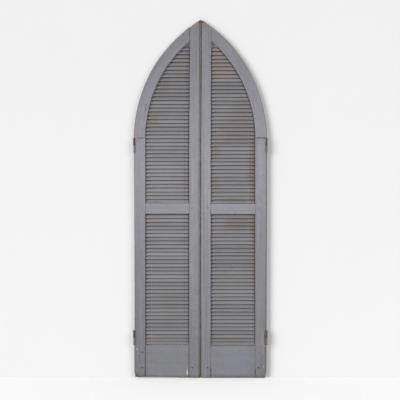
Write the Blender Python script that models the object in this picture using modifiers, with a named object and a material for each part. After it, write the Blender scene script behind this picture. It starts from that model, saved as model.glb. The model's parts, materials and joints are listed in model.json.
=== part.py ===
"""A pair of arched louvered doors, hung on lift-off hinges.

Each leaf is a mortised frame: a hanging stile with an arch piece above it, a meeting stile, a lock
rail and a bottom rail. Two banks of fixed slats sit in grooves ploughed into the frame.
Units are metres. X runs to the right, the front faces -Y, Z is up, and the origin lies on the floor
line under the middle of the closed pair.
"""
import math
from types import SimpleNamespace

import bmesh
import bpy
from mathutils import Matrix, Vector

# Outline of the closed pair
HALF_WIDTH = 0.443
SPRING_HEIGHT = 1.606
ARCH_RISE = 0.794
LEAF_THICKNESS = 0.038
PARTING_X = 0.003
MEETING_GAP = 0.004

# Frame members
HANGING_STILE_WIDTH = 0.0755
LEFT_MEETING_STILE_WIDTH = 0.076
RIGHT_MEETING_STILE_WIDTH = 0.066
LOCK_RAIL_BOTTOM = 1.099
LOCK_RAIL_HEIGHT = 0.0715
BOTTOM_RAIL_HEIGHT = 0.2165
LIP_WIDTH = 0.010
LIP_DEPTH = 0.006

# Joinery
TENON_LENGTH = 0.045
TENON_THICKNESS = 0.012
TENON_SHOULDER = 0.010
TONGUE_REACH = 0.040
TONGUE_WALL = 0.007
PEG_RADIUS = 0.005
PEG_INSET = 0.021
BOTTOM_PEG_RISE = 0.068
BOTTOM_PEG_DROP = 0.044

# Slats, tilted with the front edge low, and the notched strips that hold their ends
SLAT_PITCH = 0.0254
SLAT_THICKNESS = 0.007
SLAT_TILT = math.radians(50)
SLAT_EDGE_ROUND = 0.002
SLAT_SETBACK = 0.006
SHORTEST_SLAT = 0.015
STRIP_WIDTH = 0.008
STRIP_MARGIN = 0.001

# Lift-off hinges
HINGE_LENGTH = 0.098
HINGE_GAP = 0.003
UPPER_HINGE_DROP = 0.0005
LOWER_HINGE_RISE = 0.004
PLATE_THICKNESS = 0.003
PLATE_BACK_MARGIN = 0.008
PIN_RADIUS = 0.0031
PIN_HEADROOM = 0.004
PIN_CHAMFER = 0.001
KNUCKLE_WALL = 0.0018
SCREW_COUNT = 3
SCREW_LENGTH = 0.020
SCREW_RADIUS = 0.0021
SCREW_HEAD_RADIUS = 0.0042
SCREW_HEAD_DEPTH = 0.0024
SCREW_POINT = 0.004
SCREW_END_MARGIN = 0.014
SCREW_STAGGER = 0.005
SLOT_WIDTH = 0.0010
SLOT_DEPTH = 0.0008

# Fits and facets
FIT_GAP = 0.0003
CUT_OVERRUN = 0.010
WELD_DISTANCE = 0.00001
ARCH_STEPS = 20
KNUCKLE_STEPS = 16
SMALL_ROUND_STEPS = 10
SHARP_ANGLE = math.radians(40)

# Finishes: colour, roughness and metallic value
FINISHES = {
    "grey_paint": ((0.300, 0.300, 0.326), 0.72, 0.0),
    "slat_paint": ((0.250, 0.248, 0.262), 0.75, 0.0),
    "peg_wood": ((0.150, 0.142, 0.140), 0.80, 0.0),
    "bare_wood": ((0.330, 0.235, 0.150), 0.85, 0.0),
    "rusted_iron": ((0.075, 0.058, 0.052), 0.70, 0.55),
    "painted_iron": ((0.270, 0.268, 0.285), 0.60, 0.10),
}

# Values that follow from the sizes above
FRONT = -LEAF_THICKNESS / 2
HANG_INNER = HALF_WIDTH - HANGING_STILE_WIDTH
LOCK_RAIL_TOP = LOCK_RAIL_BOTTOM + LOCK_RAIL_HEIGHT
ARCH_RADIUS = (HALF_WIDTH**2 + ARCH_RISE**2) / (2 * HALF_WIDTH)
ARCH_CENTRE = HALF_WIDTH - ARCH_RADIUS
INNER_RADIUS = ARCH_RADIUS - HANGING_STILE_WIDTH
GROOVE_WIDTH = STRIP_WIDTH + FIT_GAP
STRIP_DEPTH = LEAF_THICKNESS - 2 * (SLAT_SETBACK - STRIP_MARGIN)
GROOVE_DEPTH = STRIP_DEPTH + 2 * FIT_GAP
EDGE_TRIM = 2 * SLAT_EDGE_ROUND * min(math.sin(SLAT_TILT), math.cos(SLAT_TILT))
SLAT_DEPTH = LEAF_THICKNESS - 2 * SLAT_SETBACK
SLAT_CHORD = (SLAT_DEPTH + EDGE_TRIM - SLAT_THICKNESS * math.sin(SLAT_TILT)) / math.cos(SLAT_TILT)
SLAT_HEIGHT = SLAT_CHORD * math.sin(SLAT_TILT) + SLAT_THICKNESS * math.cos(SLAT_TILT) - EDGE_TRIM
BORE_RADIUS = PIN_RADIUS + FIT_GAP
KNUCKLE_RADIUS = BORE_RADIUS + KNUCKLE_WALL
PIVOT_U = HALF_WIDTH + HINGE_GAP / 2
PIVOT_Y = FRONT - KNUCKLE_RADIUS - FIT_GAP
PLATE_BACK = -FRONT - PLATE_BACK_MARGIN
UPPER_HINGE_BASE = SPRING_HEIGHT - UPPER_HINGE_DROP - HINGE_LENGTH
LOWER_HINGE_BASE = BOTTOM_RAIL_HEIGHT + LOWER_HINGE_RISE

# In every leaf u is the distance from the middle of the pair towards the hanging edge.
LEFT = SimpleNamespace(
    name="left",
    side=-1,
    lipped=True,
    meet_edge=-(PARTING_X - MEETING_GAP / 2),
    meet_inner=LEFT_MEETING_STILE_WIDTH - (PARTING_X - MEETING_GAP / 2),
)
RIGHT = SimpleNamespace(
    name="right",
    side=1,
    lipped=False,
    meet_edge=PARTING_X + MEETING_GAP / 2,
    meet_inner=RIGHT_MEETING_STILE_WIDTH + PARTING_X + MEETING_GAP / 2,
)

# Turns from a drawing plane to the world: upright across the width, or upright across the depth
UPRIGHT = Matrix.Rotation(math.radians(90), 4, "X")
CROSSWISE = Matrix.Rotation(math.radians(90), 4, "Z") @ UPRIGHT


def clear_scene():
    for old in list(bpy.data.objects):
        bpy.data.objects.remove(old, do_unlink=True)


def new_collection(name):
    made = bpy.data.collections.new(name)
    bpy.context.scene.collection.children.link(made)
    return made


def new_material(name):
    colour, roughness, metallic = FINISHES[name]
    made = bpy.data.materials.new(name)
    made.use_nodes = True
    shader = made.node_tree.nodes["Principled BSDF"]
    shader.inputs["Base Color"].default_value = (*colour, 1.0)
    shader.inputs["Roughness"].default_value = roughness
    shader.inputs["Metallic"].default_value = metallic
    return made


clear_scene()
DOORS = new_collection("arched_louvered_doors")
CUTTERS = new_collection("cutters")
MATERIALS = {name: new_material(name) for name in FINISHES}


# Shapes, each a closed mesh object that starts out as a cutter

def as_cutter(name, mesh, location=(0, 0, 0)):
    made = bpy.data.objects.new(name, mesh)
    made.location = location
    made.display_type = "WIRE"
    made.hide_render = True
    CUTTERS.objects.link(made)
    return made


def as_part(made, finish, pivot=None):
    """Turns a cutter-style object into a part of the doors, hung from the empty on its hinge line."""
    CUTTERS.objects.unlink(made)
    DOORS.objects.link(made)
    made.display_type = "TEXTURED"
    made.hide_render = False
    made.data.materials.append(MATERIALS[finish])
    if pivot is not None:
        made.parent = pivot
        made.location -= pivot.location
    return made


def box(name, low, high):
    """A block between two opposite corners, given in any order."""
    corners = [sorted(pair) for pair in zip(low, high)]
    size = Vector([b - a for a, b in corners])
    shape = bmesh.new()
    bmesh.ops.create_cube(shape, size=1.0)
    bmesh.ops.scale(shape, vec=size, verts=shape.verts)
    mesh = bpy.data.meshes.new(name)
    shape.to_mesh(mesh)
    shape.free()
    return as_cutter(name, mesh, [(a + b) / 2 for a, b in corners])


def rods(name, radius, length, steps, centres, turn=Matrix.Identity(4)):
    """Round bars about their own centres, upright unless they are turned."""
    origin = Vector(centres[0])
    shape = bmesh.new()
    for centre in centres:
        place = Matrix.Translation(Vector(centre) - origin) @ turn
        bmesh.ops.create_cone(shape, cap_ends=True, segments=steps, radius1=radius, radius2=radius,
                              depth=length, matrix=place)
    mesh = bpy.data.meshes.new(name)
    shape.to_mesh(mesh)
    shape.free()
    mesh.shade_smooth()
    mesh.set_sharp_from_angle(angle=SHARP_ANGLE)
    return as_cutter(name, mesh, origin)


def prism(name, outline, depth, turn=UPRIGHT, location=(0, 0, 0)):
    """A flat outline given thickness evenly to both sides of its plane."""
    curve = bpy.data.curves.new(name, "CURVE")
    curve.dimensions = "2D"
    curve.fill_mode = "BOTH"
    curve.extrude = depth / 2
    spline = curve.splines.new("POLY")
    spline.points.add(len(outline) - 1)
    for point, (x, y) in zip(spline.points, outline):
        point.co = (x, y, 0, 1)
    spline.use_cyclic_u = True
    drawn = bpy.data.objects.new(name + "_outline", curve)
    CUTTERS.objects.link(drawn)
    bpy.context.view_layer.update()
    flat = drawn.evaluated_get(bpy.context.evaluated_depsgraph_get())
    mesh = bpy.data.meshes.new_from_object(flat)
    bpy.data.objects.remove(drawn, do_unlink=True)
    bpy.data.curves.remove(curve)
    mesh.transform(turn)
    shape = bmesh.new()
    shape.from_mesh(mesh)
    bmesh.ops.remove_doubles(shape, verts=shape.verts, dist=WELD_DISTANCE)
    bmesh.ops.recalc_face_normals(shape, faces=shape.faces)
    shape.to_mesh(mesh)
    shape.free()
    return as_cutter(name, mesh, location)


def turned(name, profile, steps, location, tip=0):
    """A turned piece from a profile of (radius, height) points that runs from top to bottom.

    Its axis stands upright unless it is tipped about Y.
    """
    shape = bmesh.new()
    corners = [shape.verts.new((radius, 0, height)) for radius, height in profile]
    for upper, lower in zip(corners, corners[1:]):
        shape.edges.new((upper, lower))
    mesh = bpy.data.meshes.new(name)
    shape.to_mesh(mesh)
    shape.free()
    made = as_cutter(name, mesh, location)
    made.rotation_euler = (0, tip, 0)
    sweep = made.modifiers.new("Turn", "SCREW")
    sweep.axis = "Z"
    sweep.steps = steps
    sweep.render_steps = steps
    sweep.use_merge_vertices = True
    sweep.merge_threshold = WELD_DISTANCE
    return made


def boolean(target, other, operation):
    step = target.modifiers.new(operation.capitalize() + " " + other.name, "BOOLEAN")
    step.operation = operation
    step.solver = "EXACT"
    step.object = other


def cut(target, *cutters):
    for other in cutters:
        boolean(target, other, "DIFFERENCE")


def join(target, *others):
    for other in others:
        boolean(target, other, "UNION")


# Geometry of the arch

def arch_height(radius, u):
    """Height of an arc about the arch centre at a distance u from the middle."""
    return SPRING_HEIGHT + math.sqrt(radius**2 - (u - ARCH_CENTRE)**2)


def arch_points(radius, low, end_u):
    """Points up an arc, from a height just at or over the spring to where it reaches end_u."""
    start = math.asin((low - SPRING_HEIGHT) / radius)
    end = math.acos((end_u - ARCH_CENTRE) / radius)
    angles = [start + (end - start) * step / ARCH_STEPS for step in range(ARCH_STEPS + 1)]
    return [(ARCH_CENTRE + radius * math.cos(a), SPRING_HEIGHT + radius * math.sin(a)) for a in angles]


def on_side(leaf, outline):
    return [(leaf.side * u, z) for u, z in outline]


def across(leaf, name, u_low, u_high, y_low, y_high, z_low, z_high):
    """A block in a leaf, given by its distances from the middle of the pair."""
    return box(name, (leaf.side * u_low, y_low, z_low), (leaf.side * u_high, y_high, z_high))


def arched_opening(leaf, low, spread):
    """Outline of the arched opening above the lock rail, grown sideways by spread."""
    inside = leaf.meet_inner - spread
    arc = arch_points(INNER_RADIUS + spread, SPRING_HEIGHT, inside)
    return on_side(leaf, [(inside, low), (HANG_INNER + spread, low)] + arc)


def square_opening(leaf, low, high, spread):
    """Outline of the opening below the lock rail, grown sideways by spread."""
    inside = leaf.meet_inner - spread
    outside = HANG_INNER + spread
    return on_side(leaf, [(inside, low), (outside, low), (outside, high), (inside, high)])


# Frame members

def make_pegs(leaf, stile, u, pivot):
    """The pegs through the tenons in a stile, with one cutter for all of their holes."""
    heights = {
        "bottom_rail_peg_low": BOTTOM_PEG_RISE,
        "bottom_rail_peg_high": BOTTOM_RAIL_HEIGHT - BOTTOM_PEG_DROP,
        "lock_rail_peg": LOCK_RAIL_BOTTOM + LOCK_RAIL_HEIGHT / 2,
    }
    centres = [(leaf.side * u, 0, height) for height in heights.values()]
    for peg, centre in zip(heights, centres):
        made = rods(f"{leaf.name}_{stile}_{peg}", PEG_RADIUS, LEAF_THICKNESS, SMALL_ROUND_STEPS,
                    [centre], UPRIGHT)
        as_part(made, "peg_wood", pivot)
    return rods(f"{leaf.name}_{stile}_peg_holes", PEG_RADIUS + FIT_GAP, LEAF_THICKNESS + CUT_OVERRUN,
                SMALL_ROUND_STEPS, centres, UPRIGHT)


def make_rail(leaf, rail, low, high, pivot):
    """A rail with a tenon on each end, and the cutter for its mortises."""
    name = f"{leaf.name}_{rail}"
    body = across(leaf, name, leaf.meet_inner + FIT_GAP, HANG_INNER - FIT_GAP,
                  FRONT, -FRONT, low, high)
    reach = (leaf.meet_inner - TENON_LENGTH, HANG_INNER + TENON_LENGTH)
    heights = (low + TENON_SHOULDER, high - TENON_SHOULDER)
    half = TENON_THICKNESS / 2
    tenons = across(leaf, name + "_tenons", *reach, -half, half, *heights)
    mortises = across(leaf, name + "_mortises", reach[0] - FIT_GAP, reach[1] + FIT_GAP,
                      -half - FIT_GAP, half + FIT_GAP, heights[0] - FIT_GAP, heights[1] + FIT_GAP)
    join(body, tenons)
    return as_part(body, "grey_paint", pivot), mortises


def make_tongue(leaf, name, u_range, z_range, pivot):
    """A loose tongue hidden in a butt joint, with the cutter for the slots it sits in."""
    half = TENON_THICKNESS / 2
    tongue = across(leaf, name, *u_range, -half, half, *z_range)
    slot = across(leaf, name + "_slot", u_range[0] - FIT_GAP, u_range[1] + FIT_GAP,
                  -half - FIT_GAP, half + FIT_GAP, z_range[0] - FIT_GAP, z_range[1] + FIT_GAP)
    as_part(tongue, "bare_wood", pivot)
    return slot


def make_spring_tongue(leaf, pivot):
    u_range = (HANG_INNER + GROOVE_WIDTH + TONGUE_WALL, HALF_WIDTH - SCREW_LENGTH - TONGUE_WALL)
    z_range = (SPRING_HEIGHT - TONGUE_REACH, SPRING_HEIGHT + TONGUE_REACH)
    return make_tongue(leaf, f"{leaf.name}_spring_tongue", u_range, z_range, pivot)


def make_apex_tongue(leaf, pivot):
    u_range = (leaf.meet_inner - TONGUE_REACH, leaf.meet_inner + TONGUE_REACH)
    groove_tip = arch_height(INNER_RADIUS + GROOVE_WIDTH, leaf.meet_inner - GROOVE_WIDTH)
    top_edge = arch_height(ARCH_RADIUS, u_range[1])
    z_range = (groove_tip + TONGUE_WALL, top_edge - TONGUE_WALL)
    return make_tongue(leaf, f"{leaf.name}_apex_tongue", u_range, z_range, pivot)


def make_hanging_stile(leaf, pivot):
    stile = across(leaf, f"{leaf.name}_hanging_stile", HANG_INNER, HALF_WIDTH, FRONT, -FRONT,
                   0, SPRING_HEIGHT - FIT_GAP / 2)
    return as_part(stile, "grey_paint", pivot)


def make_arch_stile(leaf, pivot):
    low = SPRING_HEIGHT + FIT_GAP / 2
    end = leaf.meet_inner + FIT_GAP
    outer = arch_points(ARCH_RADIUS, low, end)
    inner = arch_points(INNER_RADIUS, low, end)
    stile = prism(f"{leaf.name}_arch_stile", on_side(leaf, outer + inner[::-1]), LEAF_THICKNESS)
    return as_part(stile, "grey_paint", pivot)


def make_meeting_stile(leaf, envelope, pivot):
    """The stile along the parting, its head cut to the arch."""
    stile = across(leaf, f"{leaf.name}_meeting_stile", leaf.meet_edge, leaf.meet_inner, FRONT, -FRONT,
                   0, SPRING_HEIGHT + ARCH_RISE + CUT_OVERRUN)
    boolean(stile, envelope, "INTERSECT")
    return as_part(stile, "grey_paint", pivot)


def make_closing_lip(leaf):
    """Cutter for the step along the front of a leaf's meeting edge."""
    return across(leaf, f"{leaf.name}_closing_lip", leaf.meet_edge - CUT_OVERRUN,
                  leaf.meet_edge + LIP_WIDTH, FRONT - CUT_OVERRUN, FRONT + LIP_DEPTH, -CUT_OVERRUN,
                  SPRING_HEIGHT + ARCH_RISE + CUT_OVERRUN)


def make_envelope():
    """The whole pointed outline of the pair, thicker than a leaf, that trims the meeting stiles."""
    arc = arch_points(ARCH_RADIUS, SPRING_HEIGHT, 0)
    half = [(HALF_WIDTH, -CUT_OVERRUN)] + arc
    other = [(-u, z) for u, z in half[-2::-1]]
    return prism("pointed_outline", half + other, LEAF_THICKNESS + CUT_OVERRUN)


# Slats

def slat_outline():
    """Section of a slat across its depth, with eased edges, tilted with the front edge low."""
    half = SLAT_CHORD / 2
    thick = SLAT_THICKNESS / 2
    ease = SLAT_EDGE_ROUND
    one_end = [(half - ease, -thick), (half, ease - thick), (half, thick - ease), (half - ease, thick)]
    flat = one_end + [(-a, -b) for a, b in one_end]
    cos, sin = math.cos(SLAT_TILT), math.sin(SLAT_TILT)
    return [(a * cos - b * sin, a * sin + b * cos) for a, b in flat]


def make_bank(leaf, name, first, count, pitch, strips, core, pivot):
    """A bank of slats: one slat repeated upwards, trimmed to core and joined to its side strips."""
    middle = leaf.side * (leaf.meet_inner + HANG_INNER) / 2
    length = HANG_INNER - leaf.meet_inner + 2 * GROOVE_WIDTH
    bank = prism(name, slat_outline(), length, CROSSWISE, (middle, 0, first + SLAT_HEIGHT / 2))
    repeat = bank.modifiers.new("Slats", "ARRAY")
    repeat.count = count
    repeat.use_relative_offset = False
    repeat.use_constant_offset = True
    repeat.constant_offset_displace = (0, 0, pitch)
    boolean(bank, core, "INTERSECT")
    join(bank, strips)
    return as_part(bank, "slat_paint", pivot)


def make_lower_louvers(leaf, pivot):
    name = f"{leaf.name}_lower_louvers"
    low = BOTTOM_RAIL_HEIGHT
    high = LOCK_RAIL_BOTTOM
    travel = high - low - SLAT_HEIGHT - 4 * FIT_GAP
    steps = max(1, round(travel / SLAT_PITCH))
    strips = prism(name + "_strips", square_opening(leaf, low + FIT_GAP, high - FIT_GAP, STRIP_WIDTH),
                   STRIP_DEPTH)
    opening = prism(name + "_opening", square_opening(leaf, low - CUT_OVERRUN, high + CUT_OVERRUN, 0),
                    LEAF_THICKNESS)
    core = prism(name + "_core",
                 square_opening(leaf, low - CUT_OVERRUN, high + CUT_OVERRUN, STRIP_WIDTH / 2),
                 LEAF_THICKNESS)
    cut(strips, opening)
    make_bank(leaf, name, low + 2 * FIT_GAP, steps + 1, travel / steps, strips, core, pivot)
    return prism(name + "_groove", square_opening(leaf, low, high, GROOVE_WIDTH), GROOVE_DEPTH)


def make_upper_louvers(leaf, pivot):
    name = f"{leaf.name}_upper_louvers"
    low = LOCK_RAIL_TOP
    top = arch_height(INNER_RADIUS, leaf.meet_inner + SHORTEST_SLAT)
    first = low + 2 * FIT_GAP
    count = 1 + int((top - first - SLAT_HEIGHT) / SLAT_PITCH)
    strips = prism(name + "_strips", arched_opening(leaf, low + FIT_GAP, STRIP_WIDTH), STRIP_DEPTH)
    opening = prism(name + "_opening", arched_opening(leaf, low - CUT_OVERRUN, 0), LEAF_THICKNESS)
    core = prism(name + "_core", arched_opening(leaf, low - CUT_OVERRUN, STRIP_WIDTH / 2),
                 LEAF_THICKNESS)
    cut(strips, opening)
    make_bank(leaf, name, first, count, SLAT_PITCH, strips, core, pivot)
    return prism(name + "_groove", arched_opening(leaf, low, GROOVE_WIDTH), GROOVE_DEPTH)


# Hinges

def screw_profile(grow):
    """Countersunk screw from its head down, as (radius, height over the plate's face)."""
    return [
        (0, grow),
        (SCREW_HEAD_RADIUS + grow, grow),
        (SCREW_HEAD_RADIUS + grow, -FIT_GAP),
        (SCREW_RADIUS + grow, -SCREW_HEAD_DEPTH - FIT_GAP),
        (SCREW_RADIUS + grow, SCREW_POINT - SCREW_LENGTH),
        (0, -SCREW_LENGTH - grow),
    ]


def screw_places(base):
    """Depth and height of each screw in a hinge plate, staggered to either side of its middle."""
    middle = (FRONT + PLATE_BACK) / 2
    span = HINGE_LENGTH - 2 * SCREW_END_MARGIN
    for index in range(SCREW_COUNT):
        share = index / max(1, SCREW_COUNT - 1)
        stagger = SCREW_STAGGER * (1 if index % 2 else -1)
        yield middle + stagger, base + SCREW_END_MARGIN + span * share


def make_screw(leaf, name, depth, height, pivot):
    """A slotted screw in the hanging edge, with the cutter for its hole."""
    outward = leaf.side * math.radians(90)
    place = (leaf.side * HALF_WIDTH, depth, height)
    hole = turned(name + "_hole", screw_profile(FIT_GAP), SMALL_ROUND_STEPS, place, outward)
    screw = turned(name, screw_profile(0), SMALL_ROUND_STEPS, place, outward)
    slot = across(leaf, name + "_slot", HALF_WIDTH - SLOT_DEPTH, HALF_WIDTH + CUT_OVERRUN,
                  depth - SCREW_HEAD_RADIUS - FIT_GAP, depth + SCREW_HEAD_RADIUS + FIT_GAP,
                  height - SLOT_WIDTH / 2, height + SLOT_WIDTH / 2)
    cut(screw, slot)
    as_part(screw, "rusted_iron", pivot)
    return hole


def hinge_half(leaf, name, face_u, back_u, base, knuckle_range):
    """A hinge plate between two planes with a knuckle rolled on its front edge, bored for the pin."""
    top = base + HINGE_LENGTH
    plate = across(leaf, name, face_u, back_u, FRONT, PLATE_BACK, base, top)
    low, high = knuckle_range
    centre = (leaf.side * PIVOT_U, PIVOT_Y, (low + high) / 2)
    neck = across(leaf, name + "_neck", face_u, back_u, PIVOT_Y, FRONT + FIT_GAP, low, high)
    knuckle = rods(name + "_knuckle", KNUCKLE_RADIUS, high - low, KNUCKLE_STEPS, [centre])
    bore = rods(name + "_bore", BORE_RADIUS, high - low + CUT_OVERRUN, KNUCKLE_STEPS, [centre])
    join(plate, neck, knuckle)
    cut(plate, bore)
    return plate


def make_hinge(leaf, level, base, stile, pivot):
    """A lift-off hinge: the leaf's half with its screws, the frame's half below it, and the pin."""
    name = f"{leaf.name}_{level}_hinge"
    top = base + HINGE_LENGTH
    middle = (base + top) / 2
    door_half = hinge_half(leaf, name + "_door_half", HALF_WIDTH, HALF_WIDTH - PLATE_THICKNESS, base,
                           (middle + FIT_GAP / 2, top))
    seat = across(leaf, name + "_seat", HALF_WIDTH - PLATE_THICKNESS - FIT_GAP, HALF_WIDTH + CUT_OVERRUN,
                  FRONT - CUT_OVERRUN, PLATE_BACK + FIT_GAP, base - FIT_GAP, top + FIT_GAP)
    cut(stile, seat)
    frame_face = HALF_WIDTH + HINGE_GAP
    frame_half = hinge_half(leaf, name + "_frame_half", frame_face, frame_face + PLATE_THICKNESS, base,
                            (base, middle - FIT_GAP / 2))
    inward = -leaf.side * math.radians(90)
    for number, (depth, height) in enumerate(screw_places(base), 1):
        hole = make_screw(leaf, f"{name}_screw_{number}", depth, height, pivot)
        cut(door_half, hole)
        cut(stile, hole)
        place = (leaf.side * frame_face, depth, height)
        empty_hole = turned(f"{name}_frame_hole_{number}", screw_profile(FIT_GAP), SMALL_ROUND_STEPS,
                            place, inward)
        cut(frame_half, empty_hole)
    pin_top = top - PIN_HEADROOM
    profile = [(0, pin_top), (PIN_RADIUS - PIN_CHAMFER, pin_top), (PIN_RADIUS, pin_top - PIN_CHAMFER),
               (PIN_RADIUS, base), (0, base)]
    pin = turned(name + "_pin", profile, KNUCKLE_STEPS, (leaf.side * PIVOT_U, PIVOT_Y, 0))
    as_part(door_half, "rusted_iron", pivot)
    as_part(frame_half, "painted_iron")
    as_part(pin, "rusted_iron")


# Leaves

def make_pivot(leaf):
    """The empty on a leaf's hinge line, from which all of the leaf hangs."""
    pivot = bpy.data.objects.new(f"{leaf.name}_leaf_pivot", None)
    pivot.location = (leaf.side * PIVOT_U, PIVOT_Y, 0)
    DOORS.objects.link(pivot)
    return pivot


def make_leaf(leaf, envelope):
    pivot = make_pivot(leaf)
    hanging = make_hanging_stile(leaf, pivot)
    arch = make_arch_stile(leaf, pivot)
    meeting = make_meeting_stile(leaf, envelope, pivot)
    if leaf.lipped:
        cut(meeting, make_closing_lip(leaf))
    bottom, bottom_mortises = make_rail(leaf, "bottom_rail", 0, BOTTOM_RAIL_HEIGHT, pivot)
    lock, lock_mortises = make_rail(leaf, "lock_rail", LOCK_RAIL_BOTTOM, LOCK_RAIL_TOP, pivot)
    spring_slot = make_spring_tongue(leaf, pivot)
    apex_slot = make_apex_tongue(leaf, pivot)
    lower_groove = make_lower_louvers(leaf, pivot)
    upper_groove = make_upper_louvers(leaf, pivot)
    cut(arch, upper_groove, spring_slot, apex_slot)
    cut(meeting, lower_groove, upper_groove, bottom_mortises, lock_mortises, apex_slot)
    cut(hanging, lower_groove, upper_groove, bottom_mortises, lock_mortises, spring_slot)
    make_hinge(leaf, "upper", UPPER_HINGE_BASE, hanging, pivot)
    make_hinge(leaf, "lower", LOWER_HINGE_BASE, hanging, pivot)
    hanging_holes = make_pegs(leaf, "hanging", HANG_INNER + PEG_INSET, pivot)
    meeting_holes = make_pegs(leaf, "meeting", leaf.meet_inner - PEG_INSET, pivot)
    cut(hanging, hanging_holes)
    cut(meeting, meeting_holes)
    cut(bottom, hanging_holes, meeting_holes)
    cut(lock, hanging_holes, meeting_holes)


def main():
    envelope = make_envelope()
    make_leaf(LEFT, envelope)
    make_leaf(RIGHT, envelope)
    bpy.context.view_layer.update()


main()
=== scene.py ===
"""Looks for a pair of arched louvered doors in old grey paint.

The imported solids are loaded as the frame. Each board, slat, peg and piece of ironwork is then made
again in place, worn, painted or rusted, and rides on the leaf or jamb hinge that it belongs to.
Units are metres, the front faces -Y and Z is up.
"""

import json
import math
import random
from types import SimpleNamespace

import bmesh
import bpy
from bpy.props import FloatProperty, FloatVectorProperty, PointerProperty
from mathutils import Matrix, Vector, noise


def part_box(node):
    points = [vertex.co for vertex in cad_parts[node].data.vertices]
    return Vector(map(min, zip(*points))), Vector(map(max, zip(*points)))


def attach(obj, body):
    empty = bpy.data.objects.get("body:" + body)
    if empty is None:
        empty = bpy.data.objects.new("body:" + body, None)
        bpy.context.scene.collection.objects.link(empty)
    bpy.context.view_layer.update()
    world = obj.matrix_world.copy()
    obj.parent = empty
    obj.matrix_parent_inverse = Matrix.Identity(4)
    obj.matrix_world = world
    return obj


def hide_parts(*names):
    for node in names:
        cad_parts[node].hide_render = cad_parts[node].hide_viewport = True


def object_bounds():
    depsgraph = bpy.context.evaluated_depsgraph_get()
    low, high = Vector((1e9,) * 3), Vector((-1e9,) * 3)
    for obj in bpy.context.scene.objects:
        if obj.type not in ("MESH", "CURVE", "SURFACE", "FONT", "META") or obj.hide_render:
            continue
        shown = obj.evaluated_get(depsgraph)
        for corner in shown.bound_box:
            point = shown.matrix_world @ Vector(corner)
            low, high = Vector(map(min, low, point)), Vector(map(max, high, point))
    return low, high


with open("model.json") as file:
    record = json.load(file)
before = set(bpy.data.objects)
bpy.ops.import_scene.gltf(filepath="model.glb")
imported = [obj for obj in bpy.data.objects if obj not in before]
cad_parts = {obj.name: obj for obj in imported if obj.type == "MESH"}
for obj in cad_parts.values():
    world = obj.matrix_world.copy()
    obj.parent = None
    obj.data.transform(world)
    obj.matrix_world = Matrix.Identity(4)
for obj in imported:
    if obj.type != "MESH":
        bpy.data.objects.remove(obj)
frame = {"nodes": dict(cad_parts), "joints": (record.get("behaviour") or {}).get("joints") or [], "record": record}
CAD_BOX = [list(corner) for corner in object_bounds()]

bl_info = {
    "name": "Arched louvered doors",
    "version": (1, 0, 0),
    "blender": (4, 5, 0),
    "location": "View3D > Sidebar > Doors",
    "description": "Dresses a pair of arched louvered doors in worn paint and rusted iron",
    "category": "Object",
}

# Joinery and slats that the boxes of the solids don't show
PARTING_X = 0.003
LIP_WIDTH = 0.010
LIP_DEPTH = 0.006
SLAT_PITCH = 0.0254
SLAT_TILT = math.radians(50)
SLAT_SETBACK = 0.006
SLAT_CLEARANCE = 0.0006
SHORTEST_SLAT = 0.015
HINGE_LEVELS = ("upper", "lower")

# Slat ends, at the meeting stile and at the hanging side: the gap beside them, and the dirt and painted shade on
# them
SHOULDER_GAP = {"left": (0.0030, 0.0022), "right": (0.0016, 0.0026)}
SHOULDER_CUT = 0.0005
SHOULDER_SCALE = 0.82
HOUSING_DEPTH = 0.004
END_DIRT_AND_SHADE = {"left": (1.0, 0.1), "right": (0.05, 1.0)}
END_DIRT_AND_SHADE_REACH = 0.004
ARCH_END_CLEAN = {"left": 1.0, "right": 0.0}
ARCH_END_RISE = 0.20

# How uneven the slats are: the lowest stand off the bottom rail, each less than the one below it,
# and the upper ones stray from the lowest to the highest
RAIL_GAP = {"left": 0.0070, "right": 0.0030}
RAIL_GAP_FALL = {"left": 0.33, "right": 0.0}
UPPER_STRAY = {"left": (-0.0006, 0.0050), "right": (-0.0036, 0.0012)}
SLAT_THICKNESS_RANGE = (0.88, 1.08)
SLAT_TURN_SPREAD = 0.6
SLAT_BOW_SPREAD = 0.5
SLAT_TONE = {"left": 0.0, "right": -1.2}
SLAT_GRAIN_RANGE = (0, 10)
SLAT_DENT = 0.02

# Joints that have opened: how far, and over what stretch they close again
SPRING_JOINT = {"left": 0.55, "right": 1.0}
SPRING_JOINT_CLOSED = {"left": (0.012, 0.034), "right": (0.004, 0.020)}
HEAD_JOINT = {"left": 0.8, "right": 0.2}
HEAD_JOINT_CLOSED = (0.014, 0.030)
LOCK_RAIL_JOINT = 0.1
BOTTOM_RAIL_JOINT_CLOSED = {"left": (0.40, 0.30), "right": (0.075, 0.050)}

# How far the lower and the upper front edge of each rail lie below the back ones
RAIL_SAG = {
    "left_lock_rail": (0.0016, 0.0),
    "left_bottom_rail": (0.0, -0.0050),
    "right_lock_rail": (0.0042, 0.0042),
    "right_bottom_rail": (0.0, 0.0),
}

# Outlines that have strayed: worn feet, bowed edges, proud or notched heads, leaning closing edges
FOOT_CHIP = {"left": 0.008, "right": 0.009}
FOOT_CHIP_WIDTH = 0.020
FOOT_CHIP_HEIGHT = 0.050
FOOT_RISE = {"left": 0.006, "right": 0.0}
FOOT_RISE_REACH = (0.05, 0.30)
EDGE_SPREAD = {"left": (-0.0010, 0.0030), "right": (-0.0010, 0.0045)}
EDGE_BOW = {"left": 0.0026, "right": 0.0}
ARCH_FOOT_END = 0.30
ARCH_TIP_PROUD = {"left": 0.0030, "right": 0.0}
ARCH_TIP_START = 0.93
ARCH_LEAN_START = 0.60
HEAD_NOTCH = {"left": 0.0030, "right": 0.0008}
HEAD_NOTCH_REACH = 0.016
LEAN = {"left": 0.0042, "right": 0.0034}
LEAN_START = 1.45
LEAN_END = 2.30
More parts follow.
